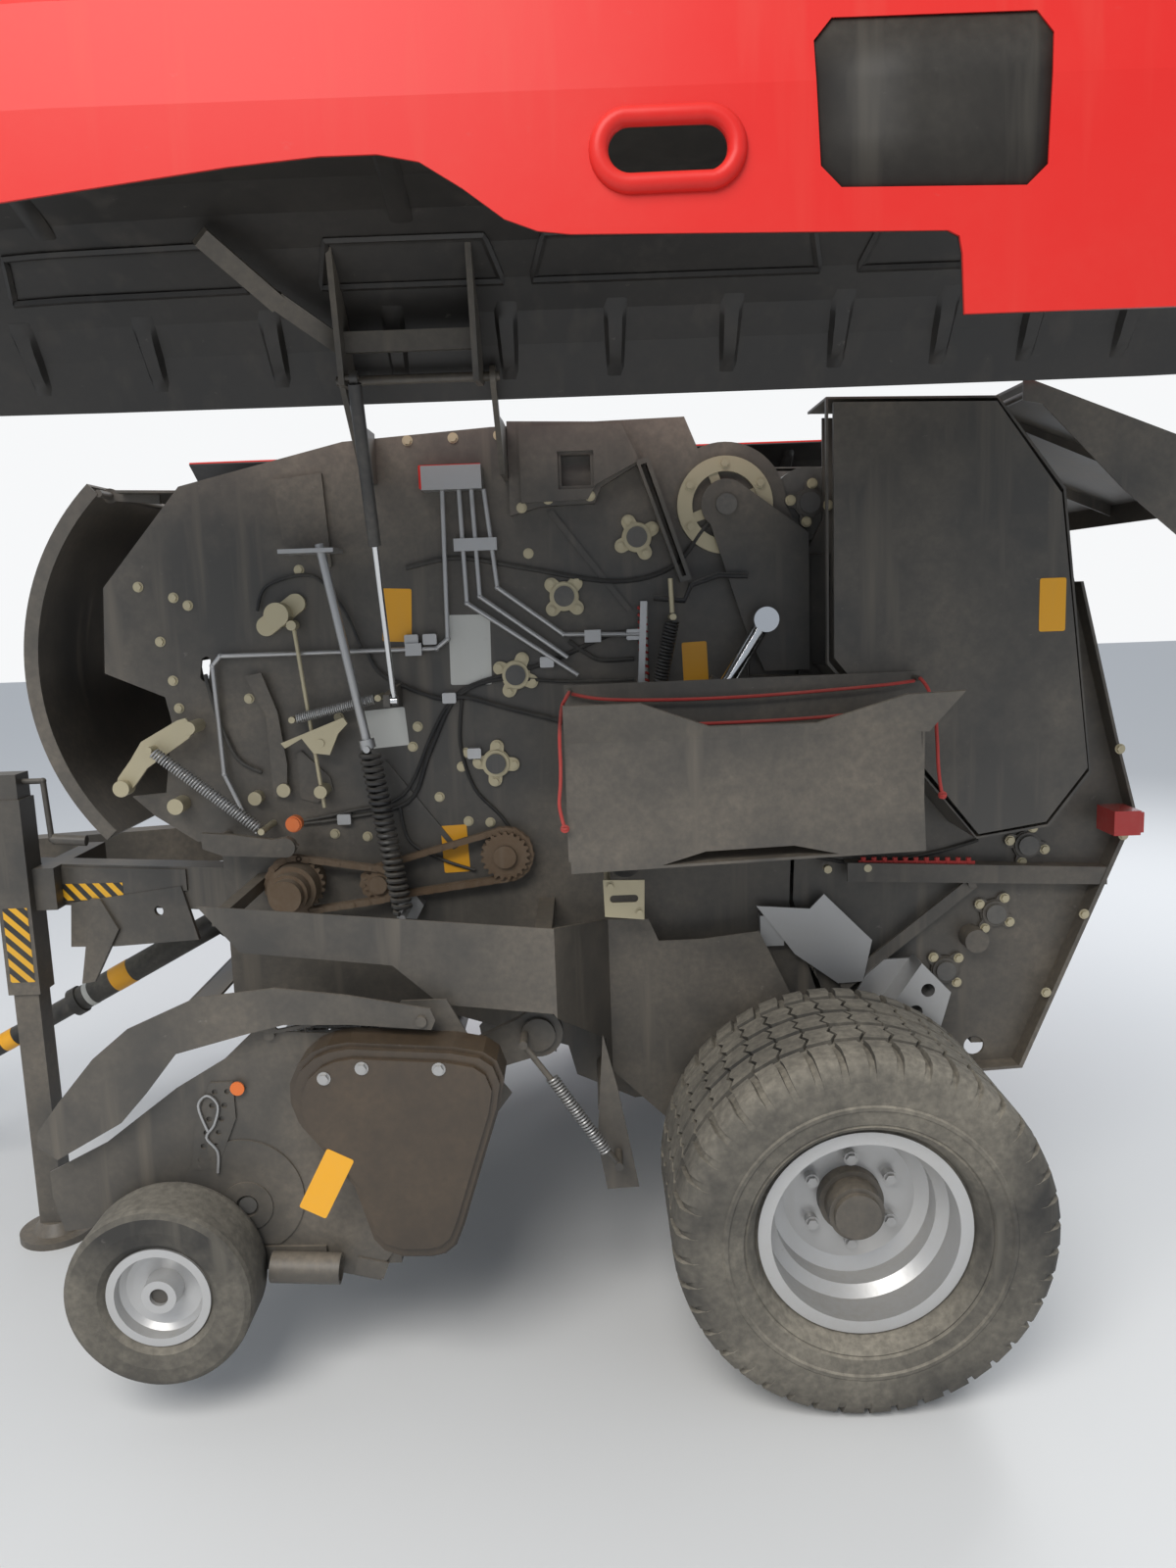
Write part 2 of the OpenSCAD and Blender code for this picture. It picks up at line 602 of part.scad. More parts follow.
module hydraulic_pipes() color("#a8aaab") at_axle() {
    y = -plate_y - 22;
    translate([-935, -plate_y - 60, 2059]) cube([143, 60, 56]);
    bent(at_y([[-890, 2060], [-896, 1705], [-925, 1683], [-1457, 1683], [-1478, 1660], [-1471, 1390],
               [-1430, 1290]], y), pipe_r);
    bent(at_y([[-850, 2060], [-844, 1790], [-579, 1606]], y), pipe_r);
    bent(at_y([[-820, 2060], [-812, 1805], [-603, 1650]], y), pipe_r);
    bent(at_y([[-790, 2060], [-768, 1825], [-611, 1706], [-410, 1700]], y), pipe_r);
    // Clamp blocks, and the greasing block on its strip
    for (p = [[-1000, 1683, 40], [-868, 1930, 104], [-560, 1700, 40]]) translate([p[0], y - 14, p[1] - 15])
        cube([p[2], 14 - y - plate_y, 30]);
    slab(-plate_y - 30, -plate_y) polygon([[-421, 1780], [-405, 1780], [-417, 1569], [-433, 1569]]);
}

tray_back = 858;
tray_front = 1040;
module roll_tray() color("#33363a") at_axle() {
    slab(-tray_front, -tray_front + sheet_t)
        polygon([[-612, 1496], [-400, 1494], [-213, 1490], [153, 1488], [165, 1230], [-14, 1222],
                 [-121, 1246], [-313, 1240], [-410, 1212], [-607, 1206]]);
    // Flared flaps along the upper edge
    translate([0, -tray_front + sheet_t / 2, 1486]) rotate([24, 0, 0]) slab(-sheet_t / 2, sheet_t / 2)
        polygon([[-612, 0], [-612, 92], [-449, 92], [-300, 30], [-72, 30], [112, 92], [235, 96], [170, 0]]);
    slab(-tray_front, -tray_back) polygon([[-607, 1206], [165, 1230], [165, 1224], [-607, 1200]]);
    slab(-tray_back - sheet_t, -tray_back) difference() {
        polygon([[-611, 1598], [199, 1602], [165, 1224], [-607, 1200]]);
        for (z = [1310, 1440]) translate([-205, z]) rotate(90) oval(60, 9);
    }
    for (x = [-612, 155]) translate([x, -tray_front, 1227]) cube([sheet_t, tray_front - tray_back, 260]);
    for (x = [-590, -130]) translate([x, -tray_back, 1240]) cube([50, tray_back - plate_y, 50]);
    // Hooks that the elastic cords are tied to
    for (p = hook_posts) bar_y(p[0], p[1], -tray_back - 50, -tray_back, hook_r);
}
hook_r = 6;
hook_posts = [[-600, 1585], [186, 1588], [-560, 1520], [110, 1520]];

// Elastic cords, tied at one end or both. A route's points are in millimetres of the frame
function ring_axis(p, i) = unit(p[min(i + 1, len(p) - 1)] - p[max(i - 1, 0)]);
module cord(route) {
    sides = 8;
    m = len(route);
    rings = [for (i = [0:m - 1])
                 let (t = ring_axis(route, i), a = unit(cross(t, [0, 1, 0])), b = cross(t, a))
                 each [for (k = [0:sides - 1]) route[i] + cord_r * (cos(45 * k) * a + sin(45 * k) * b)]];
    walls = [for (i = [0:m - 2]) for (k = [0:sides - 1])
                 let (u = i * sides + k, v = i * sides + (k + 1) % sides)
                 each [[u, v, v + sides], [u, v + sides, u + sides]]];
    polyhedron(rings, concat([[for (k = [sides - 1:-1:0]) k]], walls,
                             [[for (k = [0:sides - 1]) (m - 1) * sides + k]]));
}
cord_r = 4;
top_route = [[2826, -885, 1020], [2900, -893, 1006], [3050, -898, 1000], [3250, -898, 1002],
             [3500, -896, 1014], [3600, -885, 1022]];
front_route = [[2866, -885, 956], [2950, -897, 948], [3100, -902, 944], [3300, -902, 946],
               [3450, -898, 952], [3524, -885, 956]];
left_route = [[2820, -908, 1025], [2820, -917, 1024.9], [2811, -924, 1010], [2803, -918, 992],
              [2800, -1055, 956], [2799, -1060, 920], [2799, -1058, 880], [2797, -1057, 840],
              [2793, -1058, 800], [2797, -1059, 770], [2803, -1059, 745]];
right_route = [[3606, -908, 1028], [3606, -917, 1027.9], [3618, -925, 1009], [3626, -930, 985],
               [3629, -950, 960], [3631, -952, 920], [3634, -951, 880], [3636, -951, 840],
               [3640, -952, 800], [3646, -952, 770]];
module cord_top() color("#a3241c") cord(top_route);
module cord_front() color("#a3241c") cord(front_route);
module cord_left() color("#a3241c") cord(left_route);
module cord_right() color("#a3241c") cord(right_route);

skirt_y = 1000;
fender_y = 700;
skirt_t = 4;
module side_skirts() color("#2e3134") at_axle() both_sides() {
    intersection() {
        slab(-skirt_y - 10, -fender_y + 10)
            polygon([[-1443, 1148], [-652, 1067], [-527, 1001], [-426, 998], [-402, 941], [-297, 942],
                     [-151, 957], [-42, 723], [-345, 425], [-548, 625], [-540, 703], [-660, 869],
                     [-913, 901], [-1017, 996], [-1354, 1038]]);
        translate([0, 0, 400]) linear_extrude(800)
            polygon([[-1450, -skirt_y], [-652, -skirt_y], [-527, -fender_y], [0, -fender_y],
                     [0, -fender_y + skirt_t], [-529.7, -fender_y + skirt_t], [-654.7, -skirt_y + skirt_t],
                     [-1450, -skirt_y + skirt_t]]);
    }
    translate([-1412, -skirt_y + 2, 1100]) cube([30, skirt_y - 2 - plate_y, 30]);
    translate([-700, -skirt_y + 2, 1000]) cube([40, skirt_y - 2 - plate_y, 40]);
    for (x = [-500, -200]) translate([x, -fender_y + 2, 860]) cube([50, fender_y - 2 - plate_y, 40]);
}

module wheel_chock() color("#9aa3ad") at_axle() {
    // Chock with its round and long holes
    slab(-735, -650) difference() {
        polygon([[246, 870], [319, 792], [284, 666], [250, 668], [144, 722]]);
        for (p = [[262, 800], [232, 745]]) translate(p) circle(r = 17);
        translate([256, 706]) rotate(-20) oval(24, 9);
    }
    slab(-650, -642) polygon([[126, 814], [175, 856], [246, 858], [250, 700], [151, 710], [78, 726]]);
    // Wedge-shaped holder on the side plate
    slab(-650, -642)
        polygon([[-150, 1008], [-15, 996], [21, 1033], [143, 908], [120, 800], [57, 797], [-53, 878]]);
    translate([-140, -643, 900]) cube([60, 643 - plate_y, 80]);
}

// Uprights that carry the hoods, bored for the hinge pin
module hood_brackets() color("#2c2f33") at_axle() both_sides() {
    for (x = hood_arm_x) slab_x(x - 6, x + 6) difference() {
        union() {
            translate([-hood_hinge_y, hood_hinge_h]) circle(r = 22);
            polygon([[-plate_y, 2200], [-plate_y, 2080], [-760, 2080],
                     [-hood_hinge_y - 16, hood_hinge_h - 15], [-hood_hinge_y + 16, hood_hinge_h - 15],
                     [-hood_hinge_y + 75, hood_hinge_h - 72], [-740, 2200]]);
        }
        translate([-hood_hinge_y, hood_hinge_h]) circle(r = hood_pin_r + run_fit);
    }
    // Plate with a square opening, and the channel that braces it
    slab(-plate_y - 34, -plate_y) difference() {
        polygon([[-728, 2214], [-456, 2204], [-404, 2112], [-508, 2055], [-525, 2017], [-658, 2013],
                 [-728, 1994]]);
        translate([-602, 2059]) square([70, 72]);
    }
    slab(-plate_y - 44, -plate_y - 33) difference() {
        polygon([[-700, 2200], [-456, 2200], [-414, 2112], [-520, 2060], [-540, 2026], [-700, 2022]]);
        translate([-610, 2051]) square([86, 88]);
    }
    slab(-plate_y - 60, -plate_y - cross_t - rest_gap) difference() {
        polygon([[-424, 2110], [-394, 2120], [-297, 1828], [-324, 1822]]);
        translate([2, 0]) polygon([[-415, 2100], [-401, 2104], [-312, 1838], [-322, 1836]]);
    }
    // Lug of the gas strut's ball, beside it
    slab_x(strut_x - 24, strut_x - 8 - rest_gap)
        polygon([[-plate_y, strut_ball[1] - 30], [-plate_y, strut_ball[1] + 30],
                 [strut_ball[0] - 14, strut_ball[1] + 14], [strut_ball[0] - 14, strut_ball[1] - 14]]);
}
hood_pin_r = 10;

// Slab of an outline in Y and Z, from x0 to x1
module slab_x(x0, x1) translate([x0, 0, 0]) rotate([90, 0, 90]) linear_extrude(x1 - x0) children();

hood_arm_x = [-1054, -735];

feed_x = -703;
feed_h = 779;
module feed_rotor() color("#3b3d40") at_axle() {
    bar_y(feed_x, feed_h, -side_y + 20, side_y - 20, 90);
    bar_y(feed_x, feed_h, -plate_y - 20, plate_y + 20, shaft_r);
    for (i = [-7:7]) translate([feed_x, 78 * i, feed_h]) rotate([90, 30 * i, 0])
        linear_extrude(8, center = true) for (k = [0:3]) rotate(90 * k)
            polygon([[60, -40], [60, 40], [210, 26], [200, 0]]);
}

// Tailgate

tail_outline = [[-30, hinge_h - 160], [-30, 1500], [-50, 1010], [60, 640], [300, 545], [529, 556],
                [800, 1214], [748, 1400], [640, 1830], [480, 2060], [400, 2190], [30, 2200],
                [30, hinge_h - 40]];
ear_y = plate_y + 26;
ear_t = 8;
module tailgate_sides() color("#3b3e41") at_axle() both_sides() {
    slab(-plate_y, -side_y) difference() {
        polygon(tail_outline);
        translate([hinge_x, hinge_h]) circle(r = hinge_disc_r + run_gap);
        for (a = rear_angles) translate(on_circle(a, roller_circle_r)) circle(r = shaft_r + 12);
        translate([420, 600]) circle(r = 26);
    }
    // Rim angle round the rear edge
    slab(-plate_y - 52, -plate_y) intersection() {
        difference() {
            polygon(tail_outline);
            translate([-9, 7]) polygon(tail_outline);
        }
        translate([320, 500]) square([600, 1290]);
    }
    // Ear on the hinge shaft, with the web that joins it to the side
    slab(-ear_y - ear_t, -ear_y) difference() {
        union() {
            translate([hinge_x, hinge_h]) circle(r = 60);
            polygon([[hinge_x - 40, hinge_h - 40], [-165, 1700], [-120, 1600], [-10, 1600], [-10, 1930],
                     [hinge_x + 40, hinge_h + 45]]);
        }
        translate([hinge_x, hinge_h]) circle(r = shaft_r + run_fit);
    }
    translate([-29, -ear_y, 1610]) cube([19, ear_y - plate_y, 220]);
    // Shelf, diagonal brace and the stub of a cross tube, notched round the bearings
    slab(-plate_y - 50, -plate_y - 44) polygon([[79, 1113], [731, 1079], [733, 1034], [79, 1065]]);
    slab(-plate_y - 34, -plate_y - 25) polygon([[393, 1060], [412, 1036], [82, 776], [62, 800]]);
    bar_y(395, 1046, -plate_y - 45, -plate_y, 10);
    bar_y(74, 790, -plate_y - 34, -plate_y, 10);
    difference() {
        union() {
            slab(-plate_y - 50, -plate_y) polygon([[79, 1113], [731, 1079], [731, 1073], [79, 1107]]);
            bar_y(405, 900, -plate_y - 60, -plate_y, 30);
        }
        for (a = rear_angles, c = [on_circle(a, roller_circle_r)])
            bar_y(c[0], c[1], -plate_y - cross_t - rest_gap, -plate_y + 1, 66);
    }
    // Boss beside the lift rod's eye
    bar_y(lift_eye[0], lift_eye[1], -lift_y + 25 + rest_gap, -ear_y, 26);
}

module tailgate_covers() color("#34373b") at_axle() both_sides() {
    difference() {
        union() {
            slab(-plate_y - cover_depth + cover_bevel, -plate_y) cover_outline(0);
            slab(-plate_y - cover_depth, -plate_y - cover_depth + cover_bevel + 1) cover_outline(cover_bevel);
        }
        slab(-plate_y - cover_depth + cover_bevel, -plate_y + 10) cover_outline(sheet_t);
        slab(-plate_y - cover_depth + sheet_t, -plate_y + 10) cover_outline(cover_bevel + sheet_t);
        // Open towards the front, but for a folded edge
        slab(-plate_y - cover_depth + 30, -plate_y + 10)
            polygon([[-20, 1623 + sheet_t], [-20, 2215 - sheet_t], [60, 2213 - sheet_t], [60, 1580]]);
        for (a = rear_angles, c = [on_circle(a, roller_circle_r)])
            bar_y(c[0], c[1], -plate_y - 40, -plate_y + 10, 66);
    }
    for (a = rear_angles) bearing_cross(on_circle(a, roller_circle_r), a);
}
cover_bevel = 14;

module cover_outline(d) {
    polygon([[-5 + d, 1623 + d], [-5 + d, 2215 - d], [378 - d / 2, 2145 + 60 - d], [534 - d, 2001 - d],
             [611 - d, 1348 + d], [517 - d, 1224 + d], [346, 1200 + d]]);
}

hatch_x = 440;
hatch_h = 2235;
hatch_y = 846;
hatch_pin = [hatch_x, hatch_h - 30];
hatch_pin_r = 8;
module tailgate_beams() color("#303336") at_axle() {
    for (p = [[700, 1300], [450, 640], [330, 2120]])
        translate([p[0] - 35, -side_y, p[1] - 35]) cube([70, chamber_w, 70]);
    for (y = [-566, 554]) slab(y, y + 12) difference() {
        union() {
            translate(hatch_pin) circle(r = 18);
            polygon([hatch_pin + [-12, 8], hatch_pin + [12, -10], [365, 2130], [300, 2155]]);
        }
        translate(hatch_pin) circle(r = hatch_pin_r + run_fit);
    }
}

module tail_lamps() color("#9c2320") at_axle() both_sides() {
    translate([700, -plate_y - 152, 1180]) cube([64, 100, 60]);
    translate([764, -plate_y - 146, 1185]) cube([10, 88, 50]);
}

module rear_hatch() color("#2b2d31") at_axle() {
    slab(-hatch_y, hatch_y) polygon([[hatch_x, hatch_h], [1010, 2010], [1008, 2004], [hatch_x, hatch_h - 6]]);
    // Ribs under the lid, and its folded rear edge
    for (y = [-500, 0, 500]) slab(y - 3, y + 3)
        polygon([[hatch_x + 20, hatch_h - 12], [1000, 2008], [1000, 1975], [hatch_x + 20, hatch_h - 30]]);
    slab(-hatch_y, hatch_y) polygon([[1010, 2010], [1004, 1950], [999, 1950], [1003, 2006]]);
    both_sides() slab(-hatch_y, -hatch_y + 4)
        polygon([[hatch_x - 14, hatch_h], [1010, 2010], [990, 1760], [826, 1846], [661, 1985], [470, 2180],
                 [hatch_x - 14, hatch_h - 46]]);
    bar_y(hatch_pin[0], hatch_pin[1], -hatch_y + 1, hatch_y - 1, hatch_pin_r);
}

// Lift cylinders of the tailgate
lift_eye = [-125, 1727];
lift_base = [-480, 1150];
lift_y = plate_y + 80;
lift_pin_r = 18;
lift_rod_r = 20;
module lift_barrel(side) at_axle() {
    d = (lift_eye - lift_base) / norm(lift_eye - lift_base);
    axis = [d[0], 0, d[1]];
    a = [lift_base[0], side * lift_y, lift_base[1]];
    difference() {
        union() {
            rod(a, a + 500 * axis, 38);
            rod(a + 470 * axis, a + 500 * axis, 44);
            bar_y(a.x, a.z, a.y - 25, a.y + 25, 40);
            rod(a + 90 * axis, a + 90 * axis + [-46, 0, 28], 12);
        }
        rod(a + 60 * axis, a + 510 * axis, lift_rod_r + run_fit);
        bar_y(a.x, a.z, a.y - 40, a.y + 40, lift_pin_r + run_fit);
    }
}

module lift_rod(side) at_axle() {
    d = (lift_eye - lift_base) / norm(lift_eye - lift_base);
    axis = [d[0], 0, d[1]];
    b = [lift_eye[0], side * lift_y, lift_eye[1]];
    rod([lift_base[0], side * lift_y, lift_base[1]] + 100 * axis, b, lift_rod_r);
    bar_y(b.x, b.z, b.y - 25, b.y + 25, 30);
}

// Hoods

// Section of a closed hood as outward distance from the hinge and height over it, from the
// roof edge round the shoulder and down to the turned-in lower edge
hood_shape = [[-42, 65], [130, -26], [300, -216], [400, -500], [440, -766], [440, -935], [380, -1043],
              [-10, -1102]];
// Stations along a hood: place, and how much of the bulge is left there
hood_stations = [[hood_front, 0.78], [hood_front + 60, 0.86], [hood_front + 160, 0.92],
                 [hood_front + 400, 0.97], [hood_front + 800, 1], [hood_rear - 350, 1],
                 [hood_rear - 120, 0.98], [hood_rear, 0.93]];

function unit(v) = v / norm(v);
// Smooth curve through points, n steps between two of them
function curve(p, n) = concat(
    [for (i = [0:len(p) - 2])
         let (a = p[max(i - 1, 0)], b = p[i], c = p[i + 1], d = p[min(i + 2, len(p) - 1)])
         for (k = [0:n - 1]) let (t = k / n)
             (2 * b + (c - a) * t + (2 * a - 5 * b + 4 * c - d) * t * t
              + (3 * b - a - 3 * c + d) * t * t * t) / 2],
    [p[len(p) - 1]]);
hood_section = [for (q = curve(hood_shape, 3)) [hood_hinge_y + q[0], hood_hinge_h + q[1]]];
function normal_at(p, i) =
    let (a = p[max(i - 1, 0)], b = p[min(i + 1, len(p) - 1)], d = unit(b - a)) [-d[1], d[0]];
function inset(p, t) = [for (i = [0:len(p) - 1]) p[i] - t * normal_at(p, i)];
function bulged(p, k) = [for (q = p) [hood_hinge_y + (q[0] - hood_hinge_y) * k, q[1]]];

// Sheet of thickness t lofted through the stations, lying d inside the section
module hood_sheet(d, t) {
    n = len(hood_section);
    m = 2 * n;
    pts = [for (s = hood_stations)
               let (base = bulged(hood_section, s[1]), o = inset(base, d), i = inset(base, d + t))
               each concat([for (q = o) [s[0], -q[0], q[1]]],
                           [for (k = [n - 1:-1:0]) [s[0], -i[k][0], i[k][1]]])];
    last = len(hood_stations) - 1;
    sides = [for (r = [0:last - 1]) for (j = [0:m - 1])
                 let (a = r * m + j, b = r * m + (j + 1) % m)
                 each j < n ? [[a, b, b + m], [a, b + m, a + m]] : [[a, b, a + m], [b, b + m, a + m]]];
    // Each end is closed by a strip of four-sided faces between its outer and inner edge
    front_end = [for (j = [0:n - 2]) [m - 1 - j, m - 2 - j, j + 1, j]];
    rear_end = [for (j = [0:n - 2]) [for (k = [j, j + 1, m - 2 - j, m - 1 - j]) last * m + k]];
    polyhedron(pts, concat(front_end, sides, rear_end));
}

// Turns a closed left hood up about its hinge
module raised(angle) translate([0, -hood_hinge_y, hood_hinge_h]) rotate([-angle, 0, 0])
    translate([0, hood_hinge_y, -hood_hinge_h]) children();

// Openings in the hood's lower return: stepped edge, grip and window
module hood_cuts() {
    e = -hood_hinge_y;
    translate([0, 0, 1100]) linear_extrude(190) {
        polygon([for (q = [[hood_front - 10, -60], [hood_front - 10, 140], [-1278, 154], [-969, 188],
                           [-860, 196], [-790, 196], [-740, 186], [-690, 155], [-640, 118], [-600, 103],
                           [-560, 98], [-100, 87], [-86, 80], [-82, 60], [-76, -60]]) [q[0], e - q[1]]]);
        translate([grip[0], e - grip[1]]) oval(90, 27);
    }
    translate([0, 0, 1100]) linear_extrude(300)
        polygon([for (q = [[-255, 165], [-230, 140], [-5, 135], [20, 158], [25, 305], [5, 330], [-240, 330],
                           [-262, 305]]) [q[0], e - q[1]]]);
}
grip = [-439, 190];

module closed_hood() difference() {
    hood_sheet(0, hood_t);
    hood_cuts();
}

module closed_liner() difference() {
    hood_sheet(hood_t + rest_gap, liner_t);
    hood_cuts();
}

// Hinge pin, arm plates and the pin of the gas strut
module closed_arms() {
    rotate([0, 90, 0]) translate([-hood_hinge_h, -hood_hinge_y, hood_arm_x[0] - 14])
        cylinder(h = hood_arm_x[1] - hood_arm_x[0] + 28, r = hood_pin_r);
    for (x = [hood_arm_x[0] + 14, hood_arm_x[1] - 32]) slab_x(x, x + 12) hood_arm();
    // Bent tube that reaches forward to the liner, and the tube between the arms
    limb([hood_arm_x[0] + 22, -hood_hinge_y - 60, hood_hinge_h - 60],
         [-1150, -hood_hinge_y - 150, hood_hinge_h - 130], 36);
    limb([-1148, -hood_hinge_y - 145, hood_hinge_h - 130],
         [-1259, -hood_hinge_y - 256, hood_hinge_h - 225], 36);
    limb([hood_arm_x[0] + 14, -hood_hinge_y - 70, hood_hinge_h - 74],
         [hood_arm_x[1] - 20, -hood_hinge_y - 70, hood_hinge_h - 74], 40);
    translate([strut_x - 20, -hood_hinge_y, hood_hinge_h - strut_lever]) rotate([0, 90, 0])
        cylinder(h = 30, r = strut_pin_r);
}

strut_pin_r = 6;
// Plate from the hinge pin up to the liner and down to the gas strut
module hood_arm() {
    // Its far edge follows the liner
    face = inset(hood_section, hood_t + liner_t + 2 * rest_gap);
    polygon(concat([[-hood_hinge_y + 20, hood_hinge_h - 10], [-hood_hinge_y + 14, hood_hinge_h + 16]],
                   [for (i = [3:5]) [-face[i][0], face[i][1]]],
                   [[-hood_hinge_y - 14, hood_hinge_h - strut_lever - 12],
                    [-hood_hinge_y + 14, hood_hinge_h - strut_lever - 12]]));
}

// Gas struts of the hoods, each a barrel on the hood's arm and a rod on the side plate
strut_x = -1010;
strut_ball = [-790, 1572];
strut_lever = 120;
strut_barrel_l = 340;
strut_r = 14;
strut_rod_r = 7;
strut_rod_l = 540;
// Upper end of a strut, as Y and Z on the left, with the hood raised by an angle
function strut_top(angle) =
    [-hood_hinge_y - strut_lever * sin(angle), hood_hinge_h - strut_lever * cos(angle)];

// Places its children along a left strut: their Z runs from the upper end to the ball
module along_strut(angle) {
    top = strut_top(angle);
    d = strut_ball - top;
    translate([strut_x, top[0], top[1]]) rotate([atan2(-d[0], d[1]), 0, 0]) children();
}

module strut_barrel(angle) along_strut(angle) {
    difference() {
        translate([0, 0, 12]) cylinder(h = strut_barrel_l, r = strut_r);
        translate([0, 0, 40]) cylinder(h = strut_barrel_l, r = strut_rod_r + run_fit);
    }
    difference() {
        rotate([0, 90, 0]) cylinder(h = 16, r = 13, center = true);
        rotate([0, 90, 0]) cylinder(h = 20, r = strut_pin_r + run_fit, center = true);
    }
}

module strut_rod(angle) {
    length = norm(strut_ball - strut_top(angle));
    along_strut(angle) {
        translate([0, 0, length - strut_rod_l]) cylinder(h = strut_rod_l, r = strut_rod_r);
        translate([0, 0, length]) rotate([0, 90, 0]) cylinder(h = 16, r = 12, center = true);
    }
}

// Pickup

gauge_x = -1535;
gauge_h = 327;
gauge_y = 1128;
reel_x = -1372;
reel_h = 455;
pickup_y = pickup_w / 2;
wind_pivot = [-945, 896];
wind_pin_r = 12;
module pickup_sides() color("#2f3236") at_axle() both_sides() {
    slab(-pickup_y - 6, -pickup_y) difference() {
        polygon([[-1815, 550], [-1680, 616], [-1513, 738], [-1398, 804], [-1326, 870], [-1218, 860],
                 [-1060, 850], [-995, 925], [-895, 925], [-826, 790], [-760, 700], [-1066, 304], [-1081, 256],
                 [-1358, 328], [-1545, 383], [-1711, 414], [-1796, 405], [-1815, 490]]);
        translate([reel_x, reel_h]) circle(r = reel_shaft_r + run_fit);
    }
    bar_y(wind_pivot[0], wind_pivot[1], -1096, -pickup_y - 6, wind_pin_r);
    // Perforated plate that sets the windguard's height
    slab(-pickup_y - 12, -pickup_y - 6) difference() {
        polygon([[-1434, 752], [-1382, 752], [-1382, 666], [-1434, 545], [-1492, 545], [-1476, 646]]);
        for (i = [0:5]) for (k = [-14, 14]) translate([-1410 - 9 * i + k, 730 - 32 * i]) circle(r = 6.5);
    }
    // Cover plate of the reel's bearing and its flange
    slab(-pickup_y - 11, -pickup_y - 6) translate([reel_x - 8, reel_h + 20]) difference() {
        circle(r = 138);
        translate([-140, -140]) square([280, 24]);
        translate([8, -20]) circle(r = reel_shaft_r + 6);
    }
    slab(-pickup_y - 15, -pickup_y - 6) translate([reel_x, reel_h]) difference() {
        circle(r = 58);
        circle(r = reel_shaft_r + 6);
    }
    // Latch bar with its slot
    slab(-pickup_y - 22, -pickup_y - 14) difference() {
        polygon([[-1309, 872], [-1308, 888], [-1122, 915], [-1102, 903], [-1110, 893], [-1277, 866]]);
        translate([-1210, 889]) rotate(9) oval(120, 5);
    }
    bar_y(-1290, 862, -pickup_y - 22, -pickup_y, 12);
    // Foot that slides over the ground
    slab(-pickup_y - 10, -pickup_y - 5)
        polygon([[-1142, 277], [-1075, 262], [-1060, 300], [-1130, 318]]);
}

pickup_beam_x = -1092;
band_r = 160;
module pickup_frame() color("#2b2e31") at_axle() {
    // Beams that the stripper bands are bolted to
    translate([pickup_beam_x, -pickup_y, reel_h + band_r - 50]) cube([60, 2 * pickup_y, 50]);
    translate([pickup_beam_x, -pickup_y, reel_h - band_r]) cube([60, 2 * pickup_y, 60]);
    bar_y(-960, 690, -pickup_y, pickup_y, 35);
    both_sides() {
        // Arm and axle stub of the gauge wheel, outside the side plate
        slab(-pickup_y - 14, -pickup_y - 6)
            polygon([[gauge_x - 30, gauge_h + 20], [gauge_x - 30, gauge_h - 30], [gauge_x + 30, gauge_h - 30],
                     [-1200, 300], [-1200, 350], [gauge_x + 60, gauge_h + 30]]);
        bar_y(gauge_x, gauge_h, -gauge_y - 50, -pickup_y - 6, gauge_pin_r);
        // Open-ended tube that the gauge wheel's arm turns on
        difference() {
            rod([-1318, -pickup_y - 44, 322], [-1162, -pickup_y - 44, 312], 34);
            rod([-1330, -pickup_y - 44, 322.8], [-1150, -pickup_y - 44, 311.2], 27);
        }
        // Arm to the pivot tube
        slab(-880, -860) difference() {
            union() {
                translate([feed_x, feed_h]) circle(r = 58);
                polygon([[-980, 705], [-950, 725], [feed_x - 20, feed_h + 50], [feed_x + 20, feed_h - 50],
                         [-945, 658]]);
            }
            translate([feed_x, feed_h]) circle(r = pivot_r + run_fit);
        }
    }
}

module stripper_bands() color("#53565a") at_axle() {
    count = floor((2 * pickup_y - 60) / tine_pitch) - 1;
    for (i = [0:count]) translate([0, (i - count / 2) * tine_pitch, 0]) slab(-band_w / 2, band_w / 2)
        translate([reel_x, reel_h]) difference() {
            union() {
                circle(r = band_r);
                translate([0, -band_r]) square([pickup_beam_x - reel_x, 2 * band_r]);
            }
            circle(r = band_r - 3);
            translate([0, -band_r + 3]) square([pickup_beam_x - reel_x + 1, 2 * band_r - 6]);
        }
}
band_w = 44;
reel_shaft_r = 20;

module pickup_reel() color("#45484b") at_axle() {
    gaps = floor((2 * pickup_y - 60) / tine_pitch);
    bar_y(reel_x, reel_h, -pickup_y + 10, pickup_y - 10, 40);
    bar_y(reel_x, reel_h, -pickup_y - 10, pickup_y + 10, reel_shaft_r);
    for (k = [0:tine_rows - 1]) translate([reel_x, 0, reel_h]) rotate([0, 360 / tine_rows * k, 0]) {
        bar_y(tine_bar_r, 0, -pickup_y + 30, pickup_y - 30, 14);
        for (i = [1:gaps - 1]) translate([tine_bar_r, (i - gaps / 2) * tine_pitch - 3, -3])
            cube([tine_r - tine_bar_r, 6, 6]);
    }
    for (y = [-pickup_y + 30, -400, 394, pickup_y - 36])
        slab(y, y + 6) translate([reel_x, reel_h]) circle(r = 128);
}
tine_bar_r = 108;

module drive_guard() color("#3a3733") at_axle() {
    slab(-1128, -pickup_y - 6) guard_outline(1);
    slab(-1144, -1127) guard_outline(0.96);
    slab(-1155, -1143) guard_outline(0.88);
}

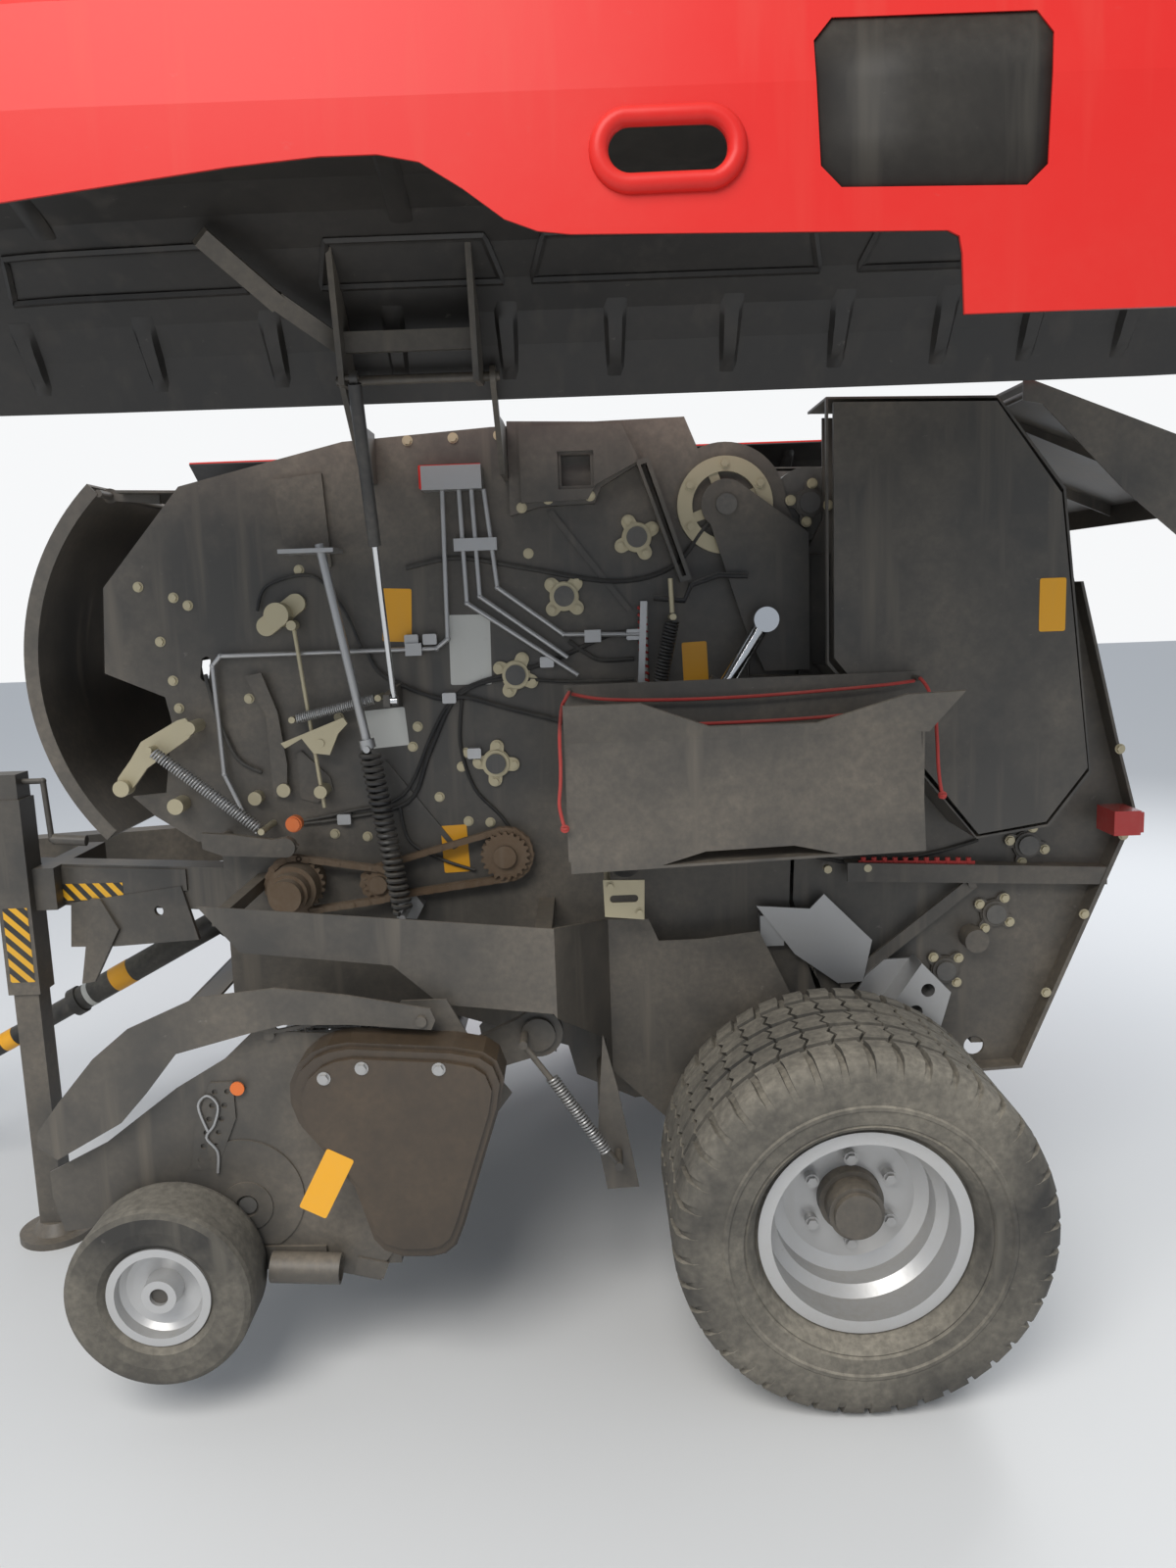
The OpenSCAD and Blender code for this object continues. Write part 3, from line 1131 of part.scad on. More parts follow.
module guard_outline(k) translate([-980, 640]) scale(k) translate([980, -640])
    polygon([[-1231, 780], [-1212, 820], [-1180, 848], [-1145, 862], [-1102, 868], [-875, 850], [-810, 836],
             [-782, 815], [-768, 774], [-778, 718], [-870, 440], [-890, 393], [-915, 372], [-946, 366],
             [-1010, 368], [-1050, 384], [-1072, 411], [-1107, 539], [-1165, 621], [-1218, 690],
             [-1232, 735]]);

module windguard() color("#2c2f33") at_axle() {
    both_sides() {
        slab(-1086, -1080) difference() {
            polygon([[-1809, 668], [-1756, 735], [-1670, 834], [-1589, 899], [-1433, 965], [-1261, 981],
                     [-1103, 959], [-925, 922], [-915, 896], [-925, 874], [-1097, 892], [-1246, 897],
                     [-1333, 878], [-1487, 839], [-1560, 750], [-1621, 684], [-1770, 603], [-1811, 633]]);
            translate(wind_pivot) circle(r = wind_pin_r + run_fit);
        }
        // Folded lower edge of the arm
        slab(-1086, -1072) polygon([[-1246, 897], [-1333, 878], [-1487, 839], [-1487, 845], [-1335, 884],
                                    [-1248, 903]]);
    }
    bar_y(-1740, 655, -1080, 1080, 22);
    // Combed sheet behind the bar
    slab(-1000, 1000) polygon([[-1742, 676], [-1735, 676], [-1560, 780], [-1563, 785]]);
}

// Parts by node

module lift_barrel_left() color("#2d2f31") lift_barrel(-1);
module lift_barrel_right() color("#2d2f31") lift_barrel(1);
module lift_rod_left() color("#b8babb") lift_rod(-1);
module lift_rod_right() color("#b8babb") lift_rod(1);
module hood_left() color("#c4231f") at_axle() raised(hood_open) closed_hood();
module hood_liner_left() color("#1d1c1b") at_axle() raised(hood_open) closed_liner();
module hood_right() color("#c4231f") at_axle() mirror([0, 1, 0]) closed_hood();
module hood_liner_right() color("#1d1c1b") at_axle() mirror([0, 1, 0]) closed_liner();
module hood_arms_left() color("#2c2f33") at_axle() raised(hood_open) closed_arms();
module hood_arms_right() color("#2c2f33") at_axle() mirror([0, 1, 0]) closed_arms();
module strut_barrel_left() color("#1f2123") at_axle() strut_barrel(hood_open);
module strut_rod_left() color("#c3c5c6") at_axle() strut_rod(hood_open);
module strut_barrel_right() color("#1f2123") at_axle() mirror([0, 1, 0]) strut_barrel(0);
module strut_rod_right() color("#c3c5c6") at_axle() mirror([0, 1, 0]) strut_rod(0);
module gauge_tyre_left() color("#3a3835") gauge_tyre(-1);
module gauge_tyre_right() color("#3a3835") gauge_tyre(1);
module gauge_rim_left() color("#b5b8ba") gauge_rim(-1);
module gauge_rim_right() color("#b5b8ba") gauge_rim(1);
module tyre_left() color("#3a3835") main_tyre(-1);
module tyre_right() color("#3a3835") main_tyre(1);
module rim_left() color("#b5b8ba") main_rim(-1);
module rim_right() color("#b5b8ba") main_rim(1);

side_plates();
front_rollers();
bearing_plates();
cross_members();
axle();
drawbar();
tow_eye();
parking_jack();
gearbox();
pto_shaft();
chain_drive();
net_box();
wrap_levers();
coil_springs();
tension_rod();
hydraulic_pipes();
roll_tray();
side_skirts();
wheel_chock();
hood_brackets();
feed_rotor();
cord_top();
cord_front();
cord_left();
cord_right();
tailgate_sides();
tailgate_covers();
tailgate_rollers();
tailgate_beams();
tail_lamps();
rear_hatch();
front_cover();
lift_barrel_left();
lift_rod_left();
lift_barrel_right();
lift_rod_right();
hood_left();
hood_liner_left();
hood_right();
hood_liner_right();
hood_arms_left();
hood_arms_right();
strut_barrel_left();
strut_rod_left();
strut_barrel_right();
strut_rod_right();
pickup_sides();
pickup_frame();
stripper_bands();
drive_guard();
pickup_reel();
windguard();
gauge_tyre_left();
gauge_rim_left();
gauge_tyre_right();
gauge_rim_right();
tyre_left();
rim_left();
tyre_right();
rim_right();
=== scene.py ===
# %% [markdown]
# # Round baler
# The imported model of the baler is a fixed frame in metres: +X to the rear, +Y to the
# machine's right, +Z up, with the tow eye's centre as the origin. Everything made here
# is placed in that frame and rides on one of its bodies.

# %% Load the frame
import bpy
import bmesh
import json
import math
from mathutils import Vector, Matrix


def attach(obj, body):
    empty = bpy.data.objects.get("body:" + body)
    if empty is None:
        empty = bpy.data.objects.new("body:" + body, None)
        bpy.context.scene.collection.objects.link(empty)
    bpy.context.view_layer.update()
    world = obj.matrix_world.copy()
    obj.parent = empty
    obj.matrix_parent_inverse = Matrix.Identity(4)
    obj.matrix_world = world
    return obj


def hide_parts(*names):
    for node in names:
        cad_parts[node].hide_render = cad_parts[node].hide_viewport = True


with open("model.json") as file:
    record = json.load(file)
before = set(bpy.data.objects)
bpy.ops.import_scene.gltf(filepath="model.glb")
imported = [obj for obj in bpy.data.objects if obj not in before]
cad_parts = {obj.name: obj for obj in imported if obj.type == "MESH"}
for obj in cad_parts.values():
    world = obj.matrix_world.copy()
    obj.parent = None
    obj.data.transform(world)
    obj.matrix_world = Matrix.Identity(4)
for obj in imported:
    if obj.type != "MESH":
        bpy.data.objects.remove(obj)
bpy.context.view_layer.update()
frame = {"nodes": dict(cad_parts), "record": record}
GROUND = -0.560   # height of the ground, in metres
AXLE_X = 3420     # how far the axle is behind the tow eye, in millimetres
SIDES = (("left", -1), ("right", 1))


def linked(name, data):
    """A new object of some data, in the scene."""
    obj = bpy.data.objects.new(name, data)
    bpy.context.scene.collection.objects.link(obj)
    return obj


def feed(tree, node, sockets):
    """Each of a node's sockets gets a link or a plain value."""
    for socket, v in sockets.items():
        if isinstance(v, bpy.types.NodeSocket):
            tree.links.new(v, node.inputs[socket])
        else:
            node.inputs[socket].default_value = v


def wire(tree, kind, sockets, **settings):
    node = tree.nodes.new(kind)
    for key, value in settings.items():
        setattr(node, key, value)
    feed(tree, node, sockets)
    return node


def add_socket(tree, name, kind, value=None, in_out="INPUT"):
    socket = tree.interface.new_socket(name=name, in_out=in_out, socket_type="NodeSocket" + kind)
    if value is not None:
        socket.default_value = value


# %% [markdown]
# ## Camera
# The photograph was taken standing beside the baler's left, a little above its middle,
# with the camera tipped down nine degrees and rolled two. A camera's own X axis points
# right in the image, Y up, and -Z at the subject, so three vectors give its matrix.

# %% Camera at the photograph's place
SENSOR = 36   # height of the sensor, in millimetres


def make_camera(place, pitch, yaw, roll, focal_share):
    """Camera whose focal length is given as a share of its sensor's height."""
    p, w, r = math.radians(pitch), math.radians(yaw), math.radians(roll)
    ahead = Vector((math.sin(w) * math.cos(p), math.cos(w) * math.cos(p), -math.sin(p)))
    right = Vector((math.cos(w), -math.sin(w), 0))
    down = ahead.cross(right)
    image_right = math.cos(r) * right + math.sin(r) * down
    image_down = -math.sin(r) * right + math.cos(r) * down
    data = bpy.data.cameras.new("photo_camera")
    data.sensor_fit = "VERTICAL"
    data.sensor_height = SENSOR
    data.lens = SENSOR * focal_share
    data.clip_end = 200
    cam = linked("photo_camera", data)
    m = Matrix((image_right, -image_down, -ahead)).transposed().to_4x4()
    m.translation = place
    cam.matrix_world = m
    bpy.context.scene.camera = cam
    return cam


camera = make_camera((2.859, -3.543, 1.233), 8.98, -0.07, 2.06, 1202 / 1600)
print("lens", round(camera.data.lens, 2), "mm on", SENSOR, "mm")

# %% [markdown]
# ## Floor and light
# A pale floor keeps the shadow under the machine. The world is plain white to the
# camera and a soft grey sky to everything else. One wide lamp stands for the bright sky
# over the photographer's shoulder, and a weaker one lights the back.

# %% Studio
FLOOR_HALF = 30   # half the floor's side, in metres
# Name, place, what it looks at, size, watts and colour
LAMPS = (
    ("sky_lamp", (1.0, -6.0, 5.5), (3.0, 0, 0.6), 4.0, 420, (1, 0.98, 0.95)),
    ("back_lamp", (6.5, 4.0, 4.5), (3.0, 0, 0.8), 3.0, 200, (0.95, 0.97, 1)),
)


def make_floor():
    s = FLOOR_HALF
    mesh = bpy.data.meshes.new("floor")
    mesh.from_pydata([(-s, -s, GROUND), (s, -s, GROUND), (s, s, GROUND), (-s, s, GROUND)],
                     [], [(0, 1, 2, 3)])
    mat = bpy.data.materials.new("pale_floor")
    mat.use_nodes = True
    feed(mat.node_tree, mat.node_tree.nodes["Principled BSDF"],
         {"Base Color": (0.78, 0.78, 0.77, 1), "Roughness": 0.9})
    mesh.materials.append(mat)
    linked("floor", mesh)


def make_sky():
    world = bpy.data.worlds.new("plain_sky")
    bpy.context.scene.world = world
    world.use_nodes = True
    tree = world.node_tree
    light = tree.nodes["Background"]
    feed(tree, light, {"Color": (0.80, 0.86, 0.95, 1), "Strength": 0.62})
    seen = wire(tree, "ShaderNodeBackground", {"Color": (0.93, 0.94, 0.95, 1)})
    path = tree.nodes.new("ShaderNodeLightPath").outputs
    either = wire(tree, "ShaderNodeMath",
                  {0: path["Is Camera Ray"], 1: path["Is Transmission Ray"]}, operation="MAXIMUM")
    mix = wire(tree, "ShaderNodeMixShader",
               {0: either.outputs[0], 1: light.outputs[0], 2: seen.outputs[0]})
    feed(tree, tree.nodes["World Output"], {"Surface": mix.outputs[0]})


def make_lamp(name, place, target, size, watts, colour):
    data = bpy.data.lights.new(name, "AREA")
    data.size = size
    data.energy = watts
    data.color = colour
    lamp = linked(name, data)
    lamp.location = place
    way = Vector(target) - Vector(place)
    lamp.rotation_euler = way.to_track_quat("-Z", "Y").to_euler()


make_floor()
make_sky()
for lamp_row in LAMPS:
    make_lamp(*lamp_row)
bpy.context.scene.view_settings.view_transform = "Standard"
print("lamps", len(LAMPS))

# %% [markdown]
# ## Shader groups
# Dust, rain streaks and scuffs lie on every part of a working baler, so they are one
# node group that is placed in each material with its own amounts. It mixes the clean
# colour towards dust where a surface faces up and where noise says so, and puts out a
# roughness and a small height with it.

# %% Group of dust, streaks and scuffs
GROUP_INPUTS = (("Clean", "Color", (0.2, 0.2, 0.2, 1)), ("Dust", "Color", (0.42, 0.37, 0.30, 1)),
                ("Dust Amount", "Float", 0.4), ("Streaks", "Float", 0.3),
                ("Scuffs", "Float", 0.2), ("Roughness", "Float", 0.5))
GROUP_OUTPUTS = (("Color", "Color"), ("Roughness", "Float"), ("Height", "Float"))
SCUFFED = (0.30, 0.27, 0.24, 1)


def math_node(tree, operation, a, b, clamp=False):
    return wire(tree, "ShaderNodeMath", {0: a, 1: b}, operation=operation,
                use_clamp=clamp).outputs[0]


def mix_colour(tree, share, a, b):
    return wire(tree, "ShaderNodeMix", {0: share, 6: a, 7: b}, data_type="RGBA").outputs[2]


def noise(tree, coords, scale, detail, rough, stretch=None):
    if stretch:
        coords = wire(tree, "ShaderNodeMapping", {"Vector": coords, "Scale": stretch}).outputs[0]
    return wire(tree, "ShaderNodeTexNoise", {"Vector": coords, "Scale": scale, "Detail": detail,
                                             "Roughness": rough}).outputs["Fac"]


def ramp(tree, value, low, high):
    return wire(tree, "ShaderNodeMapRange",
                {"Value": value, "From Min": low, "From Max": high}).outputs[0]


def settled_dust(tree, patches, grains, amount):
    """Dust in patches and where a face looks up, broken up by grains."""
    normal = tree.nodes.new("ShaderNodeNewGeometry").outputs["Normal"]
    up = wire(tree, "ShaderNodeSeparateXYZ", {0: normal}).outputs["Z"]
    facing = math_node(tree, "MULTIPLY", ramp(tree, up, 0.1, 0.95), 0.75)
    settled = math_node(tree, "ADD", facing, patches)
    settled = math_node(tree, "MULTIPLY", settled, amount, clamp=True)
    speckled = math_node(tree, "ADD", math_node(tree, "MULTIPLY", grains, 0.5), 0.6)
    return math_node(tree, "MULTIPLY", settled, speckled, clamp=True)


def build_weather_group():
    tree = bpy.data.node_groups.new("weathered_surface", "ShaderNodeTree")
    for name, kind, value in GROUP_INPUTS:
        add_socket(tree, name, kind, value)
    for name, kind in GROUP_OUTPUTS:
        add_socket(tree, name, kind, in_out="OUTPUT")
    source = tree.nodes.new("NodeGroupInput").outputs
    coords = tree.nodes.new("ShaderNodeTexCoord").outputs["Object"]
    patches = ramp(tree, noise(tree, coords, 2.2, 6, 0.6), 0.38, 0.72)
    grains = ramp(tree, noise(tree, coords, 60, 3, 0.6), 0.35, 0.75)
    streaks = ramp(tree, noise(tree, coords, 6, 4, 0.5, (3, 3, 0.22)), 0.50, 0.78)
    scuffs = ramp(tree, noise(tree, coords, 26, 8, 0.7, (1, 1, 1.6)), 0.66, 0.72)
    settled = settled_dust(tree, patches, grains, source["Dust Amount"])
    run = math_node(tree, "MULTIPLY", streaks, source["Streaks"])
    cover = math_node(tree, "MAXIMUM", settled, run, clamp=True)
    colour = mix_colour(tree, cover, source["Clean"], source["Dust"])
    worn = math_node(tree, "MULTIPLY", scuffs, source["Scuffs"], clamp=True)
    dulled = math_node(tree, "MULTIPLY", cover, 0.4)
    raised = math_node(tree, "MULTIPLY", grains, cover)
    wire(tree, "NodeGroupOutput",
         {"Color": mix_colour(tree, worn, colour, SCUFFED),
          "Roughness": math_node(tree, "ADD", source["Roughness"], dulled, clamp=True),
          "Height": math_node(tree, "SUBTRACT", raised, worn)})
    return tree


weather_group = build_weather_group()
print("group sockets", len(weather_group.interface.items_tree))

# %% [markdown]
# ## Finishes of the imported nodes
# Each material slot of the record gets one finish. Painted steel and moulded plastic are
# dielectric with a dusty coat, zinc and bare steel are metal that the dust dulls. The
# plain numbers sit on the shader's own sockets, and only what varies comes through links.

# %% Finish maker
RELIEF = 0.002   # height of the bump, in metres


def make_finish(name, colour, dust, streaks, scuffs, roughness, metallic=0.0,
                dust_colour=(0.40, 0.36, 0.29, 1), bump=0.25, coat=0.0, specular=0.5):
    mat = bpy.data.materials.new(name)
    mat.use_nodes = True
    tree = mat.node_tree
    group = wire(tree, "ShaderNodeGroup",
                 {"Clean": (*colour, 1), "Dust": dust_colour, "Dust Amount": dust,
                  "Streaks": streaks, "Scuffs": scuffs, "Roughness": roughness},
                 node_tree=weather_group).outputs
    relief = wire(tree, "ShaderNodeBump",
                  {"Strength": bump, "Distance": RELIEF, "Height": group["Height"]})
    feed(tree, tree.nodes["Principled BSDF"],
         {"Base Color": group["Color"], "Roughness": group["Roughness"],
          "Normal": relief.outputs[0], "Metallic": metallic, "Coat Weight": coat,
          "Specular IOR Level": specular})
    mat.diffuse_color = (*colour, 1)
    return mat


# %% Finishes
# By slot: the material's name, its clean colour, the amounts of dust, streaks, scuffs and
# roughness, and what differs from make_finish's own values
FINISH_ROWS = {
    # Frame paint: its clean colour and its dust colour are tinted warm as painted light bounced
    # from the ground, and its dust is partly real dust, partly painted sheen.
    "frame_paint": ("anthracite_paint", (0.062, 0.058, 0.052), 0.40, 0.28, 0.28, 0.40,
        dict(dust_colour=(0.38, 0.315, 0.235, 1))),
    "roller_steel": ("worn_roller_paint", (0.085, 0.083, 0.080), 0.45, 0.2, 0.5, 0.42,
        dict(metallic=0.2)),
    "zinc_cream": ("cream_zinc", (0.50, 0.44, 0.29), 0.25, 0.2, 0.30, 0.38, dict(metallic=0.35)),
    "bare_steel": ("dull_steel", (0.46, 0.46, 0.46), 0.30, 0.2, 0.30, 0.38, dict(metallic=0.8)),
    "rusty_steel": ("oily_brown_steel", (0.14, 0.085, 0.045), 0.35, 0.3, 0.4, 0.5,
        dict(metallic=0.3)),
    "gear_paint": ("gearbox_paint", (0.16, 0.03, 0.022), 0.5, 0.3, 0.3, 0.5, {}),
    "shaft_plastic": ("guard_plastic", (0.012, 0.012, 0.012), 0.30, 0.2, 0.2, 0.5, {}),
    "lamp_red": ("red_lens", (0.40, 0.012, 0.010), 0.15, 0.1, 0.0, 0.15, dict(coat=0.4)),
    "cylinder_paint": ("black_paint", (0.018, 0.018, 0.020), 0.30, 0.2, 0.3, 0.38, {}),
    "rod_chrome": ("chromed_rod", (0.62, 0.63, 0.64), 0.05, 0.05, 0.0, 0.12,
        dict(metallic=1.0, bump=0.05)),
    "hood_red": ("red_hood", (0.62, 0.022, 0.018), 0.10, 0.14, 0.06, 0.36,
        dict(specular=0.22, dust_colour=(0.60, 0.18, 0.12, 1), bump=0.06)),
    "liner_black": ("black_liner", (0.016, 0.015, 0.014), 0.22, 0.25, 0.2, 0.42,
        dict(dust_colour=(0.13, 0.11, 0.09, 1))),
    "tyre_rubber": ("dusty_rubber", (0.035, 0.033, 0.030), 0.85, 0.35, 0.2, 0.75,
        dict(dust_colour=(0.31, 0.28, 0.225, 1), bump=0.5)),
    "rim_silver": ("silver_rim", (0.52, 0.52, 0.52), 0.30, 0.2, 0.25, 0.33, dict(metallic=0.5)),
    "cord_red": ("woven_red_elastic", (0.45, 0.030, 0.026), 0.20, 0.05, 0.15, 0.75, dict(bump=0.5)),
    "label_yellow": ("yellow_sticker", (0.86, 0.40, 0.012), 0.08, 0.08, 0.15, 0.38, dict(bump=0.1)),
    "label_pale": ("pale_sticker", (0.60, 0.60, 0.56), 0.20, 0.15, 0.25, 0.42, dict(bump=0.1)),
    "smoked_pane": ("smoked_pane", (0.020, 0.018, 0.016), 0.10, 0.15, 0.05, 0.5,
        dict(specular=0.2, bump=0.05)),
    "cable_black": ("cable_rubber", (0.014, 0.014, 0.015), 0.25, 0.1, 0.1, 0.55, {}),
    "guard_satin": ("satin_guard", (0.040, 0.030, 0.021), 0.26, 0.16, 0.2, 0.30,
        dict(coat=0.15, dust_colour=(0.24, 0.16, 0.09, 1), bump=0.1)),
    "orange_plastic": ("orange_cap", (0.75, 0.16, 0.02), 0.15, 0.1, 0.1, 0.4, dict(bump=0.1)),
}
STRIPE_YELLOW, STRIPE_BLACK = (0.80, 0.42, 0.015), (0.02, 0.02, 0.02, 1)
OWN_FINISH = {"drive_guard": "guard_satin"}


def make_striped(width):
    """Yellow and black slanting stripes under the same dust."""
    mat = make_finish("hazard_stripes", STRIPE_YELLOW, 0.15, 0.15, 0.3, 0.4, bump=0.1)
    tree = mat.node_tree
    group = next(n for n in tree.nodes if n.type == "GROUP")
    coords = tree.nodes.new("ShaderNodeTexCoord").outputs["Object"]
    spot = wire(tree, "ShaderNodeSeparateXYZ", {0: coords}).outputs
    along = math_node(tree, "ADD", spot["X"], spot["Z"])
    wave = math_node(tree, "FRACT", math_node(tree, "MULTIPLY", along, 1 / width), 0)
    dark = math_node(tree, "GREATER_THAN", wave, 0.5)
    feed(tree, group, {"Clean": mix_colour(tree, dark, (*STRIPE_YELLOW, 1), STRIPE_BLACK)})
    return mat


finishes = {slot: make_finish(*row, **more) for slot, (*row, more) in FINISH_ROWS.items()}
finishes["hazard_stripes"] = make_striped(0.045)
slot_of = {s["node"]: s["material_slot"] for s in frame["record"]["subparts"]}
for node, obj in frame["nodes"].items():
    finish = finishes[OWN_FINISH.get(node, slot_of[node])]
    if not obj.material_slots:
        obj.data.materials.append(finish)
    for slot in obj.material_slots:
        slot.material = finish
print("finishes", len(finishes))

# %% [markdown]
# ## Places, meshes and how a piece is handed over
# The source of the solids counts millimetres from the point on the ground under the
# axle, so one helper turns such a place into the frame's metres. The others close a
# mesh, give it its finish by name and let it ride on a body.

# %% Helpers for places
def at(x, y, z):
    """Place in the frame's metres of a point in the source's millimetres."""
    return Vector(((x + AXLE_X) / 1000, y / 1000, z / 1000 + GROUND))


def circle(steps):
    """Angles of so many steps round a full turn."""
    return [2 * math.pi * k / steps for k in range(steps)]


def between(knots, x):
    """Value at x on the line through some knots, and the last knot's beyond them."""
    for (x0, v0), (x1, v1) in zip(knots, knots[1:]):
        if x <= x1:
            return v0 + (v1 - v0) * (x - x0) / (x1 - x0)
    return knots[-1][1]


def rounded(x, z, w, h, r, turn=0.0):
    """Rounded rectangle round a centre, for labels and plates."""
    out = []
    for cx, cz, start in ((1, 1, 0), (-1, 1, 90), (-1, -1, 180), (1, -1, 270)):
        for k in range(5):
            a = math.radians(start + 90 * k / 4)
            px = cx * (w / 2 - r) + r * math.cos(a)
            pz = cz * (h / 2 - r) + r * math.sin(a)
            out.append((px, pz))
    c, s = math.cos(math.radians(turn)), math.sin(math.radians(turn))
    return [(x + px * c - pz * s, z + px * s + pz * c) for px, pz in out]


def smooth_route(points, steps):
    """Points of a soft curve through the given ones."""
    out = []
    pts = [Vector(p) for p in points]
    for i in range(len(pts) - 1):
        a, b, c, d = pts[max(i - 1, 0)], pts[i], pts[i + 1], pts[min(i + 2, len(pts) - 1)]
        for k in range(steps):
            t = k / steps
            out.append((2 * b + (c - a) * t + (2 * a - 5 * b + 4 * c - d) * t * t
                        + (3 * b - a - 3 * c + d) * t ** 3) / 2)
    return out + [pts[-1]]


print("the axle's middle stands at", at(0, 0, 418))

# %% Helpers for meshes and pieces
SHARP_ANGLE = math.radians(32)


def skin(bm, rings, closed=False):
    """Faces between rings of the same number of points."""
    n = len(rings[0])
    for a, b in zip(rings, rings[1:] + rings[:1] if closed else rings[1:]):
        for k in range(n):
            bm.faces.new((a[k], a[(k + 1) % n], b[(k + 1) % n], b[k]))


def ring_frame(points, i, closed, last_side):
    """A route's direction at one of its points, and the side nearest to the last one."""
    n = len(points)
    if closed:
        ahead, back = points[(i + 1) % n], points[i - 1]
    else:
        ahead, back = points[min(i + 1, n - 1)], points[max(i - 1, 0)]
    way = (ahead - back).normalized()
    side = last_side - way * last_side.dot(way)
    if side.length < 1e-6:
        side = way.orthogonal()
    return way, side.normalized()


def tube(bm, points, radius, sides, closed=False):
    points = [Vector(p) for p in points]
    side = (points[1] - points[0]).orthogonal().normalized()
    rings = []
    for i, p in enumerate(points):
        way, side = ring_frame(points, i, closed, side)
        up = way.cross(side)
        rings.append([bm.verts.new(p + radius * (math.cos(a) * side + math.sin(a) * up))
                      for a in circle(sides)])
    skin(bm, rings, closed)
    if not closed:
        bm.faces.new(rings[0][::-1])
        bm.faces.new(rings[-1])


def prism(bm, near, far):
    """Solid between two outlines of the same number of points."""
    near, far = [[bm.verts.new(p) for p in outline] for outline in (near, far)]
    bm.faces.new(near)
    bm.faces.new(far[::-1])
    n = len(near)
    for i in range(n):
        bm.faces.new((near[i], far[i], far[(i + 1) % n], near[(i + 1) % n]))


def plate(bm, outline, y0, y1):
    """Outline as X and Z in millimetres, standing between two Y."""
    prism(bm, [at(x, y0, z) for x, z in outline], [at(x, y1, z) for x, z in outline])


def hand_over(obj, body, slot, *replaced):
    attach(obj, body)
    if replaced:
        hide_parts(*replaced)
    return obj


def mesh_piece(name, mesh, finish, body, slot, *replaced, smooth=True):
    mesh.materials.clear()
    mesh.materials.append(finishes[finish])
    if smooth:
        mesh.shade_smooth()
        mesh.set_sharp_from_angle(angle=SHARP_ANGLE)
    print(name, len(mesh.polygons), "faces")
    return hand_over(linked(name, mesh), body, slot, *replaced)


def plain_mesh(name, bm):
    mesh = bpy.data.meshes.new(name)
    bm.to_mesh(mesh)
    bm.free()
    return mesh


def closed_mesh(name, bm):
    """Mesh of a bmesh, with all its faces turned outward."""
    bmesh.ops.recalc_face_normals(bm, faces=bm.faces)
    return plain_mesh(name, bm)


def piece(name, bm, finish, body, slot=None):
    return mesh_piece(name, closed_mesh(name, bm), finish, body, slot)


def tube_piece(name, tubes, finish, body, slot=None, closed=False):
    """Piece of tubes, each given by its points, radius and number of sides."""
    bm = bmesh.new()
    for points, radius, sides in tubes:
        tube(bm, points, radius, sides, closed)
    return piece(name, bm, finish, body, slot)


def plate_piece(name, plates, finish, body, slot=None):
    """Piece of plates, each given by its outline and two Y."""
    bm = bmesh.new()
    for outline, y0, y1 in plates:
        plate(bm, outline, y0, y1)
    return piece(name, bm, finish, body, slot)


print("edges stay sharp above", round(SHARP_ANGLE, 3))

# %% [markdown]
# ## Elastic cords
# Four red elastic cords hang on the tray's hooks. Two are stretched along its open top
# and its front from hook to hook, and two hang down from the hooks and end in a knot. A
# cord is one open curve with a round section, so it keeps its length, and it follows
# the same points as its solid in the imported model.

# %% Cords of the tray
CORD_R, KNOT_R, KNOT_WIRE = 0.004, 0.0065, 0.0036
CORD_ROUTES = {
    "cord_top": [(2826, -885, 1020), (2900, -893, 1006), (3050, -898, 1000), (3250, -898, 1002),
        (3500, -896, 1014), (3600, -885, 1022)],
    "cord_front": [(2866, -885, 956), (2950, -897, 948), (3100, -902, 944), (3300, -902, 946),
        (3450, -898, 952), (3524, -885, 956)],
    "cord_left": [(2820, -908, 1025), (2820, -917, 1024.9), (2811, -924, 1010), (2803, -918, 992),
        (2800, -1055, 956), (2799, -1060, 920), (2799, -1058, 880), (2797, -1057, 840),
        (2793, -1058, 800), (2797, -1059, 770), (2803, -1059, 745)],
    "cord_right": [(3606, -908, 1028), (3606, -917, 1027.9), (3618, -925, 1009), (3626, -930, 985),
        (3629, -950, 960), (3631, -952, 920), (3634, -951, 880), (3636, -951, 840),
        (3640, -952, 800), (3646, -952, 770)],
}
HANGING = ("cord_left", "cord_right")


def knot(name, place):
    """Three small loops round one place, each turned from the last."""
    bm = bmesh.new()
    for k in range(3):
        turn = (Matrix.Rotation(math.radians(55 * k), 3, "X")
                @ Matrix.Rotation(math.radians(35 * k), 3, "Z"))
        loop = [place + turn @ Vector((KNOT_R * math.cos(a), KNOT_R * math.sin(a), 0))
                for a in circle(14)]
        tube(bm, loop, KNOT_WIRE, 8, closed=True)
    return piece(name, bm, "cord_red", "chassis", "cord_red")


def make_cord(name, route):
    fine = smooth_route([Vector(p) / 1000 for p in route], 5)
    data = bpy.data.curves.new(name, "CURVE")
    data.dimensions = "3D"
    data.bevel_depth = CORD_R
    data.bevel_resolution = 3
    data.use_fill_caps = True
    spline = data.splines.new("POLY")
    spline.points.add(len(fine) - 1)
    for target, p in zip(spline.points, fine):
        target.co = (*p, 1)
    data.materials.append(finishes["cord_red"])
    cord = linked("elastic_" + name, data)
    ends = [knot("knot_" + name, fine[-1])] if name in HANGING else []
    hand_over(cord, "chassis", "cord_red", name)


for cord_name, cord_route in CORD_ROUTES.items():
    make_cord(cord_name, cord_route)

# %% [markdown]
# ## Geometry Nodes for what repeats
# Bolts, coils and tread pitches repeat hundreds of times. Three small trees make them:
# one sets a bolt with its washer on every point, one winds a spring, and one copies a
# pattern round an axis. Each is evaluated once, and only the plain mesh stays.

